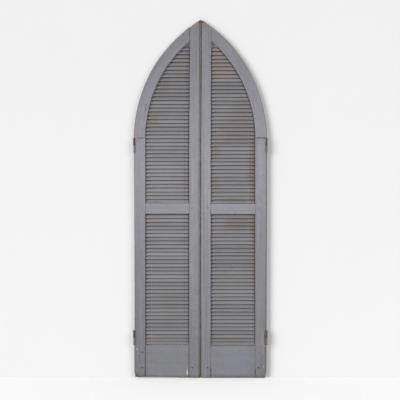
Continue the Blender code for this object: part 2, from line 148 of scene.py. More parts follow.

# Painted shade along the front of the outer edges, and how streaky the rails' paint is
EDGE_SHADE_WIDTH = 0.009
EDGE_SHADE_FADE = 0.8
HANGING_EDGE_SHADE = {"left": 0.35, "right": 0.75}
ARCH_EDGE_SHADE = {"left": 0.35, "right": 0.30}
RAIL_BRUSHED = 0.60

# Pegs and ironwork
PEG_HOLE_GAP = 0.0004
PEG_EASE = 0.0010
PAINTED_RECESS = 0.3
SEAT_GAP = 0.0003
PLATE_THICKNESS = 0.003
PLATE_EASE = 0.0005
PLATE_WEAR = 0.2
NECK_WEAR = 0.1
BORE_GAP = 0.0003
KNUCKLE_EASE = 0.0006
KNUCKLE_GAP = 0.0003
PIN_EASE = 0.0010
SCREW_HEAD_RADIUS = 0.0042
SCREW_HEAD_DEPTH = 0.0026
SCREW_RADIUS = 0.0021
SCREW_POINT = 0.004
SCREW_DOME = 0.0003
DOME_SHOULDER_RADIUS = SCREW_HEAD_RADIUS * 0.6
DOME_SHOULDER = SCREW_DOME * 0.7
SLOT_WIDTH = 0.0011
SLOT_DEPTH = 0.0009

# Fineness of the meshes
EASE_STEPS = 3
EDGE_BAND = 0.004
FLAT_STEP = 0.014
STATION_STEP = 0.010
SLAT_STEP = 0.025
NOSE_STEPS = 8
BACK_STEPS = 4
FACE_STEPS = 4
TURN_STEPS = 28
SHARP_ANGLE = math.radians(38)
CUT_OVERRUN = 0.010

# Wear of the surfaces: the rates of its noise, in bumps to the metre, and how much shows where
WAVE_RATE = 9.0
NICK_RATE = 62.0
NICK_LEVEL = 0.12
NICK_LIMIT = 0.0024
NICK_TAPER = 0.3
END_WEAR = 0.5
FOOT_WEAR = 2.5
FOOT_HEIGHT = 0.05

# Starts of the noise and chance that make each board, bank and hinge its own
BOARD_SEEDS = {
    "left_hanging_stile": 1.3,
    "left_arch_stile": 2.9,
    "left_meeting_stile": 4.7,
    "left_lock_rail": 5.9,
    "left_bottom_rail": 6.7,
    "right_hanging_stile": 8.4,
    "right_arch_stile": 10.0,
    "right_meeting_stile": 12.3,
    "right_lock_rail": 13.0,
    "right_bottom_rail": 13.8,
}
BANK_SEEDS = {
    "left_upper_louvers": 11,
    "left_lower_louvers": 21,
    "right_upper_louvers": 12,
    "right_lower_louvers": 22,
}
HINGE_SEED = 31
IRON_WEAR_RANGE = (0, 9)

# Pegs that show as dark end grain: the others are painted over
BARE_PEGS = (
    "left_hanging_bottom_rail_peg_low",
    "left_hanging_bottom_rail_peg_high",
    "left_meeting_bottom_rail_peg_low",
    "right_meeting_bottom_rail_peg_low",
    "right_hanging_bottom_rail_peg_low",
)

# Stains on the boards and slats, and painted shade on the slats: x, z, half width, half height, colour and
# strength
BROWN = (0.180, 0.140, 0.118)
DARK_BROWN = (0.075, 0.056, 0.044)
LIGHT_BROWN = (0.235, 0.180, 0.158)
RED_BROWN = (0.190, 0.125, 0.108)
TAN = (0.288, 0.243, 0.218)
PINK = (0.285, 0.240, 0.232)
PINK_GREY = (0.275, 0.245, 0.252)
WARM_GREY = (0.245, 0.236, 0.232)
BLUE_GREY = (0.212, 0.220, 0.270)
GREEN_GREY = (0.192, 0.202, 0.210)
PALE_GREY = (0.340, 0.337, 0.347)
DARK_GREY = (0.105, 0.100, 0.104)
OLIVE = (0.150, 0.142, 0.112)
LIGHT_OLIVE = (0.225, 0.208, 0.170)
RUST = (0.230, 0.140, 0.080)
CREAM = (0.560, 0.540, 0.490)
BOARD_STAINS = (
    # Apex and parting
    (0.001, 2.366, 0.062, 0.042, LIGHT_BROWN, 0.75),
    (0.006, 2.390, 0.026, 0.022, DARK_BROWN, 0.90),
    (0.001, 2.045, 0.011, 0.110, LIGHT_BROWN, 0.75),
    (0.001, 1.400, 0.009, 0.065, RED_BROWN, 0.70),
    (0.001, 0.925, 0.009, 0.060, RED_BROWN, 0.70),
    (0.001, 0.120, 0.012, 0.150, BROWN, 0.60),
    (0.001, 0.010, 0.018, 0.036, RUST, 0.70),
    # Left spring: a bare patch and three nail holes
    (-0.425, 1.620, 0.020, 0.060, PINK, 0.65),
    (-0.373, 1.824, 0.005, 0.013, DARK_GREY, 0.90),
    (-0.366, 1.797, 0.005, 0.014, DARK_GREY, 0.90),
    (-0.360, 1.826, 0.004, 0.010, DARK_GREY, 0.80),
    # Right leaf: a chip at the tip, faded paint on the hanging stile, the rails' ends
    (0.072, 2.338, 0.006, 0.006, CREAM, 0.70),
    (0.420, 0.250, 0.020, 0.090, PINK_GREY, 0.70),
    (0.405, 0.550, 0.060, 0.500, WARM_GREY, 0.45),
    (0.343, 1.135, 0.034, 0.040, PINK_GREY, 0.50),
    (0.220, 0.108, 0.180, 0.120, BLUE_GREY, 0.45),
    # Rust beside the hinges
    (-0.4420, 1.556, 0.004, 0.060, DARK_BROWN, 0.90),
    (0.4390, 1.556, 0.006, 0.062, DARK_BROWN, 0.90),
    (-0.4420, 0.269, 0.004, 0.058, DARK_BROWN, 0.90),
    (0.4315, 0.269, 0.007, 0.058, DARK_BROWN, 0.90),
    # Left bottom rail, and dirt in the joints beside both
    (-0.222, 0.105, 0.170, 0.120, GREEN_GREY, 0.45),
    (-0.3680, 0.110, 0.004, 0.125, DARK_GREY, 0.80),
    (-0.0755, 0.110, 0.004, 0.125, DARK_GREY, 0.80),
    (0.0710, 0.030, 0.004, 0.034, DARK_GREY, 0.80),
    (0.3675, 0.030, 0.004, 0.034, DARK_GREY, 0.80),
    # Feet
    (-0.402, 0.012, 0.045, 0.040, OLIVE, 0.60),
    (-0.425, 0.025, 0.022, 0.034, RED_BROWN, 0.60),
    (-0.432, 0.010, 0.014, 0.030, DARK_BROWN, 0.80),
    (-0.320, 0.010, 0.060, 0.020, OLIVE, 0.60),
    (-0.073, 0.010, 0.014, 0.030, RUST, 0.80),
    (0.410, 0.060, 0.045, 0.100, OLIVE, 0.15),
    # Chips and dents
    (0.424, 0.075, 0.005, 0.012, CREAM, 0.40),
    (0.408, 0.045, 0.007, 0.006, CREAM, 0.35),
    (-0.087, 0.038, 0.006, 0.024, CREAM, 1.00),
    (-0.423, 0.194, 0.006, 0.006, CREAM, 0.80),
    (-0.416, 0.165, 0.005, 0.010, CREAM, 0.40),
    (0.064, 1.215, 0.004, 0.060, CREAM, 0.45),
    (0.044, 1.147, 0.004, 0.018, DARK_GREY, 0.60),
    (0.396, 1.215, 0.007, 0.040, DARK_GREY, 0.25),
)
SLAT_STAINS_AND_SHADE = (
    # Upper banks, from the top down
    (0.155, 2.110, 0.120, 0.140, TAN, 0.60),
    (0.170, 2.040, 0.060, 0.050, PINK, 0.40),
    (-0.150, 2.110, 0.070, 0.090, LIGHT_OLIVE, 0.55),
    (-0.260, 1.960, 0.055, 0.090, BROWN, 0.30),
    (-0.288, 1.830, 0.024, 0.026, PINK, 0.50),
    (-0.322, 1.722, 0.055, 0.080, LIGHT_OLIVE, 0.70),
    (0.145, 1.620, 0.050, 0.050, PINK, 0.65),
    (0.290, 1.780, 0.095, 0.150, BROWN, 0.26),
    (0.240, 1.668, 0.140, 0.095, LIGHT_BROWN, 0.45),
    (0.105, 1.508, 0.040, 0.072, LIGHT_OLIVE, 0.60),
    (0.343, 1.420, 0.026, 0.190, RED_BROWN, 0.45),
    (0.102, 1.302, 0.040, 0.070, LIGHT_OLIVE, 0.60),
    # Right ends of both banks
    (0.357, 1.100, 0.018, 0.900, RED_BROWN, 0.50),
    # Lower banks, from the top down
    (-0.320, 1.060, 0.060, 0.030, PINK, 0.60),
    (0.250, 1.030, 0.120, 0.065, BROWN, 0.50),
    (0.352, 1.010, 0.024, 0.070, RED_BROWN, 0.55),
    (0.086, 0.990, 0.022, 0.065, PINK, 0.60),
    (-0.303, 0.505, 0.034, 0.014, PINK, 0.45),
    (-0.318, 0.270, 0.055, 0.016, PINK, 0.55),
    (0.225, 0.280, 0.150, 0.018, PINK, 0.50),
    # Paler fields; painted shade beside the left meeting stile and as lines over the left rails; olive over the
    # right lock rail
    (-0.225, 1.335, 0.170, 0.110, PALE_GREY, 0.32),
    (-0.086, 1.200, 0.032, 2.000, DARK_GREY, 0.16),
    (0.225, 0.600, 0.170, 0.180, PALE_GREY, 0.22),
    (-0.303, 1.178, 0.070, 0.004, DARK_GREY, 0.80),
    (0.226, 1.186, 0.165, 0.024, OLIVE, 0.45),
    (-0.222, 0.224, 0.165, 0.005, DARK_GREY, 0.60),
)

# Shade in the paint: towards the foot and the head, and low down along the outer edges
FOOT_SHADE = 0.33
SLAT_FOOT_SHADE = 0.165
FOOT_SHADE_TOP = 1.50
HEAD_SHADE = 0.31
SLAT_HEAD_SHADE = 0.186
HEAD_SHADE_START = 1.42
OUTER_SHADE = 0.140
OUTER_SHADE_ACROSS = (0.30, 0.43)
OUTER_SHADE_HEIGHTS = (1.65, 0.75)

# Dirt in the paint at the foot; painted shade in the parting and on the jamb halves towards the right
FOOT_DIRT_HEIGHTS = (0.030, -0.004)
PARTING_SHADE_ACROSS = (0.0034, 0.0023)
JAMB_SHADE = 0.5
JAMB_SHADE_ACROSS = (-0.3, 0.3)

# Stage: floor and wall, two soft suns and the sky
FLOOR_DROP = 0.0015
FLOOR_REACH = 14.0
FLOOR_GLOW = 0.335
WALL_REACH = 9.0
WALL_FADE = 0.04
WALL_FADE_TOP = 2.6
KEY_STRENGTH = 2.06
KEY_SIDE = math.radians(-45)
FILL_STRENGTH = 0.68
FILL_SIDE = math.radians(38)
SUN_SPREAD = math.radians(36)
SUN_HEIGHT = math.radians(14)
SKY_HIGH = 0.47
SKY_LOW = 0.32
SKY_RISE = (-0.2, 0.3)
SKY_BACK = 0.55
SKY_BACK_TURN = (0.0, 0.5)
SKY_SEEN = 0.90

# Camera: straight on, far off with a long lens
CAMERA_LENS = 135.0
CAMERA_SENSOR = 36.0
CAMERA_REACH = 200.0
VIEW_WIDTH = 2.678
VIEW_MIDDLE = (-0.002, 1.191)


class DoorSizes(bpy.types.PropertyGroup):
    """How worn and uneven the doors are"""

    edge_ease: FloatProperty(
        name="Edge ease", description="Rounding of the boards' long edges",
        default=0.0020, min=0.0002, max=0.006, unit="LENGTH")
    end_ease: FloatProperty(
        name="End ease", description="Rounding of the boards' ends, which shows at the joints",
        default=0.0012, min=0.0002, max=0.004, unit="LENGTH")
    surface_wave: FloatProperty(
        name="Surface wave", description="Depth of the slow hollows in the boards' faces",
        default=0.0005, min=0.0, max=0.003, unit="LENGTH")
    nick_depth: FloatProperty(
        name="Nick depth", description="Depth of the nicks along the edges",
        default=0.0050, min=0.0, max=0.012, unit="LENGTH")
    slat_thickness: FloatProperty(
        name="Slat thickness", description="Thickness of a slat",
        default=0.0070, min=0.004, max=0.009, unit="LENGTH")
    slat_wander: FloatProperty(
        name="Slat wander", description="How far the tilt of a slat strays",
        default=math.radians(2.1), min=0.0, max=math.radians(6), subtype="ANGLE")
    slat_shift: FloatProperty(
        name="Slat shift", description="How far a slat strays up or down",
        default=0.0008, min=0.0, max=0.002, unit="LENGTH")
    peg_recess: FloatProperty(
        name="Peg recess", description="How far the pegs lie below the faces of the boards",
        default=0.0008, min=0.0, max=0.004, unit="LENGTH")
    wall_gap: FloatProperty(
        name="Wall gap", description="Space between the doors and the wall behind them",
        default=0.003, min=0.002, max=0.5, unit="LENGTH")


def colour(name, description, default):
    """A colour that a user can change."""
    return FloatVectorProperty(name=name, description=description, default=default, min=0.0, max=1.0,
                               size=3, subtype="COLOR")


class DoorColours(bpy.types.PropertyGroup):
    """Colours of the doors and of the place that they stand in"""

    paint: colour("Paint", "Paint on the boards", (0.294, 0.290, 0.321))
    warm_paint: colour("Warm paint", "Paint where it has yellowed", (0.300, 0.288, 0.290))
    slat_paint: colour("Slat paint", "Paint on the slats", (0.263, 0.259, 0.271))
    # Dirt, and also painted shade on the eased corners, the slats' ends and backs and the right jamb halves
    dirt: colour("Dirt", "Dirt in the joints and along the foot", (0.080, 0.070, 0.060))
    # Dirt in the joints, and painted shade in the parting and along the outer edges
    gap_dirt: colour("Gap dirt", "Dirt in the open joints and between the leaves", (0.052, 0.050, 0.054))
    weathered_wood: colour("Weathered wood", "Wood where the paint is gone", (0.190, 0.158, 0.136))
    bare_wood: colour("Bare wood", "Unpainted wood inside the joints", (0.330, 0.235, 0.150))
    peg_wood: colour("Peg wood", "End grain of the pegs", (0.060, 0.056, 0.058))
    iron: colour("Iron", "Rusted iron of the leaves' hinge halves", (0.050, 0.045, 0.045))
    rust: colour("Rust", "Rust on the iron", (0.098, 0.070, 0.058))
    painted_iron: colour("Painted iron", "Paint on the jambs' hinge halves", (0.330, 0.328, 0.345))
    floor: colour("Floor", "Floor under the doors", (0.860, 0.860, 0.860))
    wall: colour("Wall", "Wall behind the doors", (0.896, 0.896, 0.896))


def sizes():
    """Sizes as the panel has them."""
    return bpy.context.scene.door_sizes


def colours():
    """Colours as the panel has them."""
    return bpy.context.scene.door_colours


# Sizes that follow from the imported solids

def read_leaf(name, side):
    """Sizes of one leaf. u is the distance from the middle of the pair towards the hanging edge."""
    def span(node, axis):
        low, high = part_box(f"{name}_{node}")
        return low[axis], high[axis]

    def across(node):
        return sorted(side * x for x in span(node, 0))

    joint = next(j for j in frame["joints"] if j["child"] == f"{name}_leaf")
    leaf = SimpleNamespace(name=name, side=side, body=f"{name}_leaf")
    leaf.hang_inner, leaf.hang_outer = across("hanging_stile")
    leaf.meet_edge, leaf.meet_inner = across("meeting_stile")
    leaf.front, leaf.back = span("hanging_stile", 1)
    leaf.bottom = span("bottom_rail", 2)
    leaf.lock = span("lock_rail", 2)
    leaf.spring = (span("hanging_stile", 2)[1] + span("arch_stile", 2)[0]) / 2
    leaf.pivot = (side * joint["pos_m"][0], joint["pos_m"][1])
    rise = CAD_BOX[1][2] - leaf.spring
    leaf.radius = (leaf.hang_outer**2 + rise**2) / (2 * leaf.hang_outer)
    leaf.centre = leaf.hang_outer - leaf.radius
    leaf.inner_radius = leaf.radius - (leaf.hang_outer - leaf.hang_inner)
    return leaf


LEAVES = (read_leaf("left", -1), read_leaf("right", 1))


def arch_height(leaf, radius, u):
    """Height of an arc about the arch's centre at a distance u from the middle."""
    return leaf.spring + math.sqrt(radius**2 - (abs(u) - leaf.centre)**2)


def opening_end(leaf, height):
    """Distance from the middle to the hanging side of the openings at a height."""
    over = max(0.0, height - leaf.spring)
    if over >= leaf.inner_radius:
        return leaf.meet_inner
    return leaf.centre + math.sqrt(leaf.inner_radius**2 - over**2)


def smooth(value, low, high):
    """A smooth step from 0 at low to 1 at high, which may run either way."""
    share = min(1.0, max(0.0, (value - low) / (high - low)))
    return share * share * (3 - 2 * share)


def lean(leaf, height):
    """How far the closing edge of a leaf stands to the right at a height."""
    return LEAN[leaf.name] * smooth(height, LEAN_START, LEAN_END)


# Meshes

def skins(name, lofts):
    """A mesh of closed skins, each over rings that have as many points each."""
    shape = bmesh.new()
    for rings in lofts:
        made = [[shape.verts.new(point) for point in ring] for ring in rings]
        faces = [shape.faces.new(made[0][::-1]), shape.faces.new(made[-1])]
        for lower, upper in zip(made, made[1:]):
            for index in range(len(lower)):
                around = (lower[index - 1], lower[index], upper[index], upper[index - 1])
                faces.append(shape.faces.new(around))
        face_out(shape, faces)
    return as_mesh(name, shape)


def face_out(shape, faces):
    """Turns the faces of a closed skin outwards, by the sign of its volume."""
    shape.normal_update()
    volume = sum(face.normal.dot(face.calc_center_median()) * face.calc_area() for face in faces)
    if volume < 0:
        bmesh.ops.reverse_faces(shape, faces=faces)


def as_mesh(name, shape):
    """A mesh from an edited shape, which is freed."""
    mesh = bpy.data.meshes.new(name)
    shape.to_mesh(mesh)
    shape.free()
    return mesh


def keep_values(mesh, name, values):
    """Keeps a number or a vector at each point of a mesh, for its material to read."""
    single = isinstance(values[0], float)
    layer = mesh.attributes.new(name, "FLOAT" if single else "FLOAT_VECTOR", "POINT")
    flat = values if single else [number for value in values for number in value]
    layer.data.foreach_set("value" if single else "vector", flat)


def as_piece(name, mesh):
    """An object in the scene."""
    made = bpy.data.objects.new(name, mesh)
    bpy.context.scene.collection.objects.link(made)
    return made


def marked_piece(name, lofts, marks):
    """A piece of closed skins that keeps its marks, such as edges and dirt, at its points."""
    mesh = skins(name, lofts)
    for mark, values in vars(marks).items():
        keep_values(mesh, mark, values)
    return as_piece(name, mesh)


def turned(name, profile, places, closed=False):
    """A mesh of turned solids, one at each place, from (radius, height) points down the profile."""
    shape = bmesh.new()
    for place in places:
        rings = []
        for radius, height in profile:
            count = TURN_STEPS if radius > 0 else 1
            angles = [2 * math.pi * step / count for step in range(count)]
            spots = [Vector((radius * math.cos(a), radius * math.sin(a), height)) for a in angles]
            rings.append([shape.verts.new(place @ spot) for spot in spots])
        following = rings[1:] + rings[:1] if closed else rings[1:]
        faces = []
        for upper, lower in zip(rings, following):
            for index in range(TURN_STEPS):
                around = [lower[index % len(lower)], lower[(index + 1) % len(lower)],
                          upper[(index + 1) % len(upper)], upper[index % len(upper)]]
                faces.append(shape.faces.new(list(dict.fromkeys(around))))
        face_out(shape, faces)
    return as_mesh(name, shape)


def rod(radius, low, high):
    """Profile of a plain round rod between two heights."""
    return [(0, high), (radius, high), (radius, low), (0, low)]


def peg_place(centre):
    """Place whose Z axis runs through a leaf from its back to its front."""
    return Matrix.Translation(centre) @ Matrix.Rotation(math.radians(90), 4, "X")


def blocks(name, spans):
    """A mesh of square blocks, each given by its low and high corner."""
    shape = bmesh.new()
    for low, high in spans:
        corners = [sorted(pair) for pair in zip(low, high)]
        size = [b - a for a, b in corners]
        middle = [(a + b) / 2 for a, b in corners]
        place = Matrix.Translation(middle) @ Matrix.Diagonal((*size, 1.0))
        bmesh.ops.create_cube(shape, size=1.0, matrix=place)
    return as_mesh(name, shape)


def volume_of(mesh):
    """Volume that a mesh encloses."""
    shape = bmesh.new()
    shape.from_mesh(mesh)
    volume = shape.calc_volume()
    shape.free()
    return volume


def combine(made, other_mesh, operation):
    """Cuts a piece with a mesh, or joins the mesh to it, and leaves a plain mesh."""
    before = volume_of(made.data)
    other = as_piece("tool", other_mesh)
    step = made.modifiers.new("Combine", "BOOLEAN")
    step.operation = operation
    step.solver = "EXACT"
    step.object = other
    bpy.context.view_layer.update()
    seen = made.evaluated_get(bpy.context.evaluated_depsgraph_get())
    mesh = bpy.data.meshes.new_from_object(seen)
    made.modifiers.clear()
    made.data = mesh
    bpy.data.objects.remove(other, do_unlink=True)
    if volume_of(mesh) < before / 2:
        raise RuntimeError(f"{operation} failed on {made.name}")


def dress(made, finish, body, slot, *nodes):
    """Gives a piece its finish, seats it on its body and lets it stand for its solids."""
    made.data.materials.clear()
    made.data.materials.append(finish)
    made.data.shade_smooth()
    made.data.set_sharp_from_angle(angle=SHARP_ANGLE)
    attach(made, body)
    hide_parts(*nodes)


# Boards

def eased_section(corners, ease):
    """Points round a section as (across, depth, edge, pull), with eased corners and divided sides.

    The corners run anticlockwise. edge is 1 on an eased corner and falls to 0 on the flats. pull points
    into the wood, and moves both sides of a corner in by as much.
    """
    points = []
    for index, corner in enumerate(corners):
        here = Vector(corner)
        before = (Vector(corners[index - 1]) - here).normalized()
        after = Vector(corners[(index + 1) % len(corners)]) - here
        along = after.normalized()
        outside = along.cross(before) > 0
        pull = before + along if outside else -before - along
        for step in range(EASE_STEPS + 1):
            share = step / EASE_STEPS
            bend = here + before * ease * (1 - share)**2 + along * ease * share**2
            points.append((bend.x, bend.y, 1.0 if outside else NICK_TAPER, pull))
        room = after.length - 2 * ease
        band = min(EDGE_BAND, room / 3)
        count = max(1, round((room - 2 * band) / FLAT_STEP))
        inside = Vector((-along.y, along.x))
        for step in range(count + 1):
            flat = here + along * (ease + band + (room - 2 * band) * step / count)
            points.append((flat.x, flat.y, NICK_TAPER if step in (0, count) else 0.0, inside))
    return points


def stations(length, ease):
    """Places along a board as (share of its length, inset, edge), eased at both ends."""
    turns = [math.radians(90) * step / EASE_STEPS for step in range(EASE_STEPS + 1)]
    ends = [(ease * (1 - math.cos(a)) / length, ease * (1 - math.sin(a)), 1.0) for a in turns]
    start = (ease + EDGE_BAND) / length
    count = max(1, round(length * (1 - 2 * start) / STATION_STEP))
    middle = [(start + (1 - 2 * start) * step / count, 0.0, 0.0) for step in range(count + 1)]
    return ends + middle + [(1 - share, inset, edge) for share, inset, edge in reversed(ends)]


def wear(spot, edge, seed):
    """How far a point of the surface has worn in: slow hollows all over and nicks along the edges."""
    shifted = spot + Vector((seed, seed, seed))
    hollow = 0.5 + 0.5 * noise.noise(shifted * WAVE_RATE)
    nick = max(0.0, noise.noise(shifted * NICK_RATE) - NICK_LEVEL)
    foot = 1 + FOOT_WEAR * math.exp(-spot.z / FOOT_HEIGHT)
    return sizes().surface_wave * hollow + edge * min(NICK_LIMIT, sizes().nick_depth * nick * foot)


def board(name, corners, length, place, seed, ease, end_ease, worn=1.0, opened=None, grimed=None,
          brushed=1.0):
    """A worn board: its section swept along place(across, depth, share).

    opened(across, share) tells how far the joint at an end has opened and filled with dirt, a second
    function of (across, depth) how much painted shade darkens the board there, and brushed how streaky its paint
    is.
    """
    section = eased_section(corners, ease)
    rings = []
    marks = SimpleNamespace(edge=[], joint=[], grain=[], paint=[])
    for share, inset, end_edge in stations(length, end_ease):
        ring = []
        for across, depth, side_edge, pull in section:
            joint = opened(across, share) * end_edge if opened else 0.0
            edge = max(side_edge, END_WEAR * end_edge)
            sunk = inset * (1 + joint) + worn * wear(place(across, depth, share), edge, seed)
            ring.append(place(across + pull.x * sunk, depth + pull.y * sunk, share))
            marks.edge.append(edge)
            marks.joint.append(joint)
            marks.grain.append((across + seed, depth, share * length))
            # The paint mark carries the painted shade of an outer edge and how streaky the paint is
            marks.paint.append((grimed(across, depth) if grimed else 0.0, brushed, 0.0))
        rings.append(ring)
    return marked_piece(name, [rings], marks)


def painted_board(node, corners, length, place, **looks):
    """A board of a leaf, with the easing of its edges and a wear of its own."""
    return board(node + "_painted", corners, length, place, BOARD_SEEDS[node], sizes().edge_ease,
                 sizes().end_ease, **looks)


def rectangle(low, high):
    """Corners of a section, anticlockwise, from its lowest to its highest corner."""
    return [low, (high[0], low[1]), high, (low[0], high[1])]


def peg_centres(leaf, stile):
    """Centre and radius of each peg through a stile, by its node."""
    found = {}
    for peg in ("bottom_rail_peg_low", "bottom_rail_peg_high", "lock_rail_peg"):
        node = f"{leaf.name}_{stile}_{peg}"
        low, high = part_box(node)
        found[node] = ((low + high) / 2, (high.z - low.z) / 2)
    return found


def bore_pegs(made, leaf, stile):
    """Cuts the peg holes right through a stile."""
    half = (leaf.back - leaf.front) / 2 + CUT_OVERRUN
    pegs = list(peg_centres(leaf, stile).values())
    hole = rod(pegs[0][1] + PEG_HOLE_GAP, -half, half)
    combine(made, turned("peg_holes", hole, [peg_place(centre) for centre, _ in pegs]), "DIFFERENCE")


def spring_joint(leaf, u):
    """How far the joint under the arch has opened: it has stayed closed at the outer edge."""
    closed, opened = SPRING_JOINT_CLOSED[leaf.name]
    return SPRING_JOINT[leaf.name] * smooth(leaf.hang_outer - u, closed, opened)


def foot_rise(leaf, u):
    """How far the foot of a leaf has worn short of the floor."""
    return FOOT_RISE[leaf.name] * smooth(u, *FOOT_RISE_REACH)


def grime(inside, deep):
    """How much painted shade darkens the front corner of an outer edge."""
    return smooth(inside, EDGE_SHADE_WIDTH, 0.0) * (1 - EDGE_SHADE_FADE * smooth(deep, 0.0, EDGE_SHADE_WIDTH))


def make_hanging_stile(leaf):
    """The square outer upright, with seats for the hinges."""
    node = f"{leaf.name}_hanging_stile"
    corners = rectangle((leaf.hang_inner, leaf.front), (leaf.hang_outer, leaf.back))
    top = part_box(node)[1].z

    def place(u, depth, share):
        height = share * top + foot_rise(leaf, u) * (1 - share)
        chip = FOOT_CHIP[leaf.name] * smooth(height, FOOT_CHIP_HEIGHT, 0.0)
        chip *= smooth(u, leaf.hang_outer - FOOT_CHIP_WIDTH, leaf.hang_outer)
        at_foot, at_spring = EDGE_SPREAD[leaf.name]
        bow = EDGE_BOW[leaf.name] * 4 * share * (1 - share)
        spread = at_foot + (at_spring - at_foot) * share - bow
        outer = (u - leaf.hang_inner) / (leaf.hang_outer - leaf.hang_inner)
        return Vector((leaf.side * (u + spread * outer - chip), depth, height))

    def opened(u, share):
        return spring_joint(leaf, u) if share > 0.5 else 0.0

    # Painted shade along the front of the outer edge
    def grimed(u, depth):
        return HANGING_EDGE_SHADE[leaf.name] * grime(leaf.hang_outer - u, depth - leaf.front)

    made = painted_board(node, corners, top, place, opened=opened, grimed=grimed)
    inner = leaf.side * (leaf.hang_outer - PLATE_THICKNESS - SEAT_GAP)
    outside = leaf.side * (leaf.hang_outer + CUT_OVERRUN)
    seats = []
    for level in HINGE_LEVELS:
        low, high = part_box(f"{leaf.name}_{level}_hinge_door_half")
        seats.append(((inner, leaf.front - CUT_OVERRUN, low.z - SEAT_GAP),
                      (outside, high.y + SEAT_GAP, high.z + SEAT_GAP)))
    combine(made, blocks("hinge_seats", seats), "DIFFERENCE")
    bore_pegs(made, leaf, "hanging")
    dress(made, painted_wood(), leaf.body, "grey_paint", node)


def make_arch_stile(leaf):
    """The curved upright above the spring."""
    node = f"{leaf.name}_arch_stile"
    corners = rectangle((leaf.inner_radius, leaf.front), (leaf.radius, leaf.back))
    width = leaf.radius - leaf.inner_radius
    length = leaf.radius * math.acos((leaf.meet_inner - leaf.centre) / leaf.radius)
    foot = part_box(node)[0].z - leaf.spring

    def place(radius, depth, share):
        outer = (radius - leaf.inner_radius) / width
        proud = ARCH_TIP_PROUD[leaf.name] * smooth(share, ARCH_TIP_START, 1.0)
        proud += EDGE_SPREAD[leaf.name][1] * smooth(share, ARCH_FOOT_END, 0.0)
        grown = radius + proud * outer
        start = math.asin(foot / radius)
        end = math.acos((leaf.meet_inner - leaf.centre) / radius)
        angle = start + share * (end - start)
        u = leaf.centre + grown * math.cos(angle)
        height = leaf.spring + grown * math.sin(angle)
        aside = lean(leaf, height) * smooth(share, ARCH_LEAN_START, 1.0)
        return Vector((leaf.side * u + aside, depth, height))

    def opened(radius, share):
        if share < 0.5:
            return spring_joint(leaf, leaf.centre + radius)
        return HEAD_JOINT[leaf.name] * smooth(leaf.radius - radius, *HEAD_JOINT_CLOSED)

    # Painted shade along the front of the outer edge
    def grimed(radius, depth):
        return ARCH_EDGE_SHADE[leaf.name] * grime(leaf.radius - radius, depth - leaf.front)

    made = painted_board(node, corners, length, place, opened=opened, grimed=grimed)
    dress(made, painted_wood(), leaf.body, "grey_paint", node)


def make_meeting_stile(leaf):
    """The inner upright, its head cut to the arch. The left one has a lip along its closing edge."""
    node = f"{leaf.name}_meeting_stile"
    if leaf.name == "left":
        step_u = leaf.meet_edge + LIP_WIDTH
        step_y = leaf.front + LIP_DEPTH
        corners = [(step_u, leaf.front), (leaf.meet_inner, leaf.front), (leaf.meet_inner, leaf.back),
                   (leaf.meet_edge, leaf.back), (leaf.meet_edge, step_y), (step_u, step_y)]
    else:
        corners = rectangle((leaf.meet_edge, leaf.front), (leaf.meet_inner, leaf.back))

    def place(u, depth, share):
        head = arch_height(leaf, leaf.radius, u)
        head -= HEAD_NOTCH[leaf.name] * smooth(u, leaf.meet_inner - HEAD_NOTCH_REACH, leaf.meet_inner)
        return Vector((leaf.side * u + lean(leaf, share * head), depth, share * head))

    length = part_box(node)[1].z
    made = painted_board(node, corners, length, place)
    bore_pegs(made, leaf, "meeting")
    dress(made, painted_wood(), leaf.body, "grey_paint", node)


def make_rail(leaf, rail):
    """The lock rail or the bottom rail, between the shoulders of its tenons."""
    node = f"{leaf.name}_{rail}"
    low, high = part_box(node)
    under, over = RAIL_SAG[node]
    corners = [(low.z - under, leaf.front), (high.z - over, leaf.front), (high.z, leaf.back),
               (low.z, leaf.back)]
    length = leaf.hang_inner - leaf.meet_inner

    def place(height, depth, share):
        u = leaf.meet_inner + share * length
        if rail == "bottom_rail":
            height += foot_rise(leaf, u) * (high.z - height) / (high.z - low.z)
        return Vector((leaf.side * u, depth, height))

    def opened(height, share):
        if rail == "lock_rail":
            return LOCK_RAIL_JOINT
        return smooth(height, *BOTTOM_RAIL_JOINT_CLOSED[leaf.name])

    made = painted_board(node, corners, length, place, opened=opened, brushed=RAIL_BRUSHED)
    dress(made, painted_wood(), leaf.body, "grey_paint", node)


# Slats

def slat_profile(chord, thickness):
    """Section of a slat, anticlockwise, as (along, through, edge): its nose is at negative along."""
    half = thickness / 2
    reach = chord / 2 - half
    points = []
    for step in range(NOSE_STEPS + 1):
        angle = math.radians(90) + math.pi * step / NOSE_STEPS
        points.append((-reach + half * math.cos(angle), half * math.sin(angle), abs(math.cos(angle))))
    for step in range(1, FACE_STEPS):
        points.append((-reach + 2 * reach * step / FACE_STEPS, -half, 0.0))
    for step in range(BACK_STEPS + 1):
        angle = math.radians(-90) + math.pi * step / BACK_STEPS
        points.append((reach + half * math.cos(angle), half * math.sin(angle), abs(math.cos(angle))))
    for step in range(1, FACE_STEPS):
        points.append((reach - 2 * reach * step / FACE_STEPS, half, 0.0))
    return points


def slat_sizes(leaf):
    """Width of a slat and its height as it stands in the bank."""
    thickness = sizes().slat_thickness
    depth = leaf.back - leaf.front - 2 * SLAT_SETBACK
    chord = (depth - thickness) / math.cos(SLAT_TILT) + thickness
    height = (chord - thickness) * math.sin(SLAT_TILT) + thickness
    return chord, height


def slat_ends(leaf, bottom):
    """Room, and dirt with painted shade, at each end of a slat. Where ends lie clean against the arch, they have
    neither.
    """
    clean = ARCH_END_CLEAN[leaf.name] * smooth(bottom, leaf.spring, leaf.spring + ARCH_END_RISE)
    near_gap, far_gap = SHOULDER_GAP[leaf.name]
    near_dirt_and_shade, far_dirt_and_shade = END_DIRT_AND_SHADE[leaf.name]
    near = (near_gap + SHOULDER_CUT, near_dirt_and_shade)
    far = (far_gap * (1 - clean) + SHOULDER_CUT, far_dirt_and_shade * (1 - clean))
    return near, far


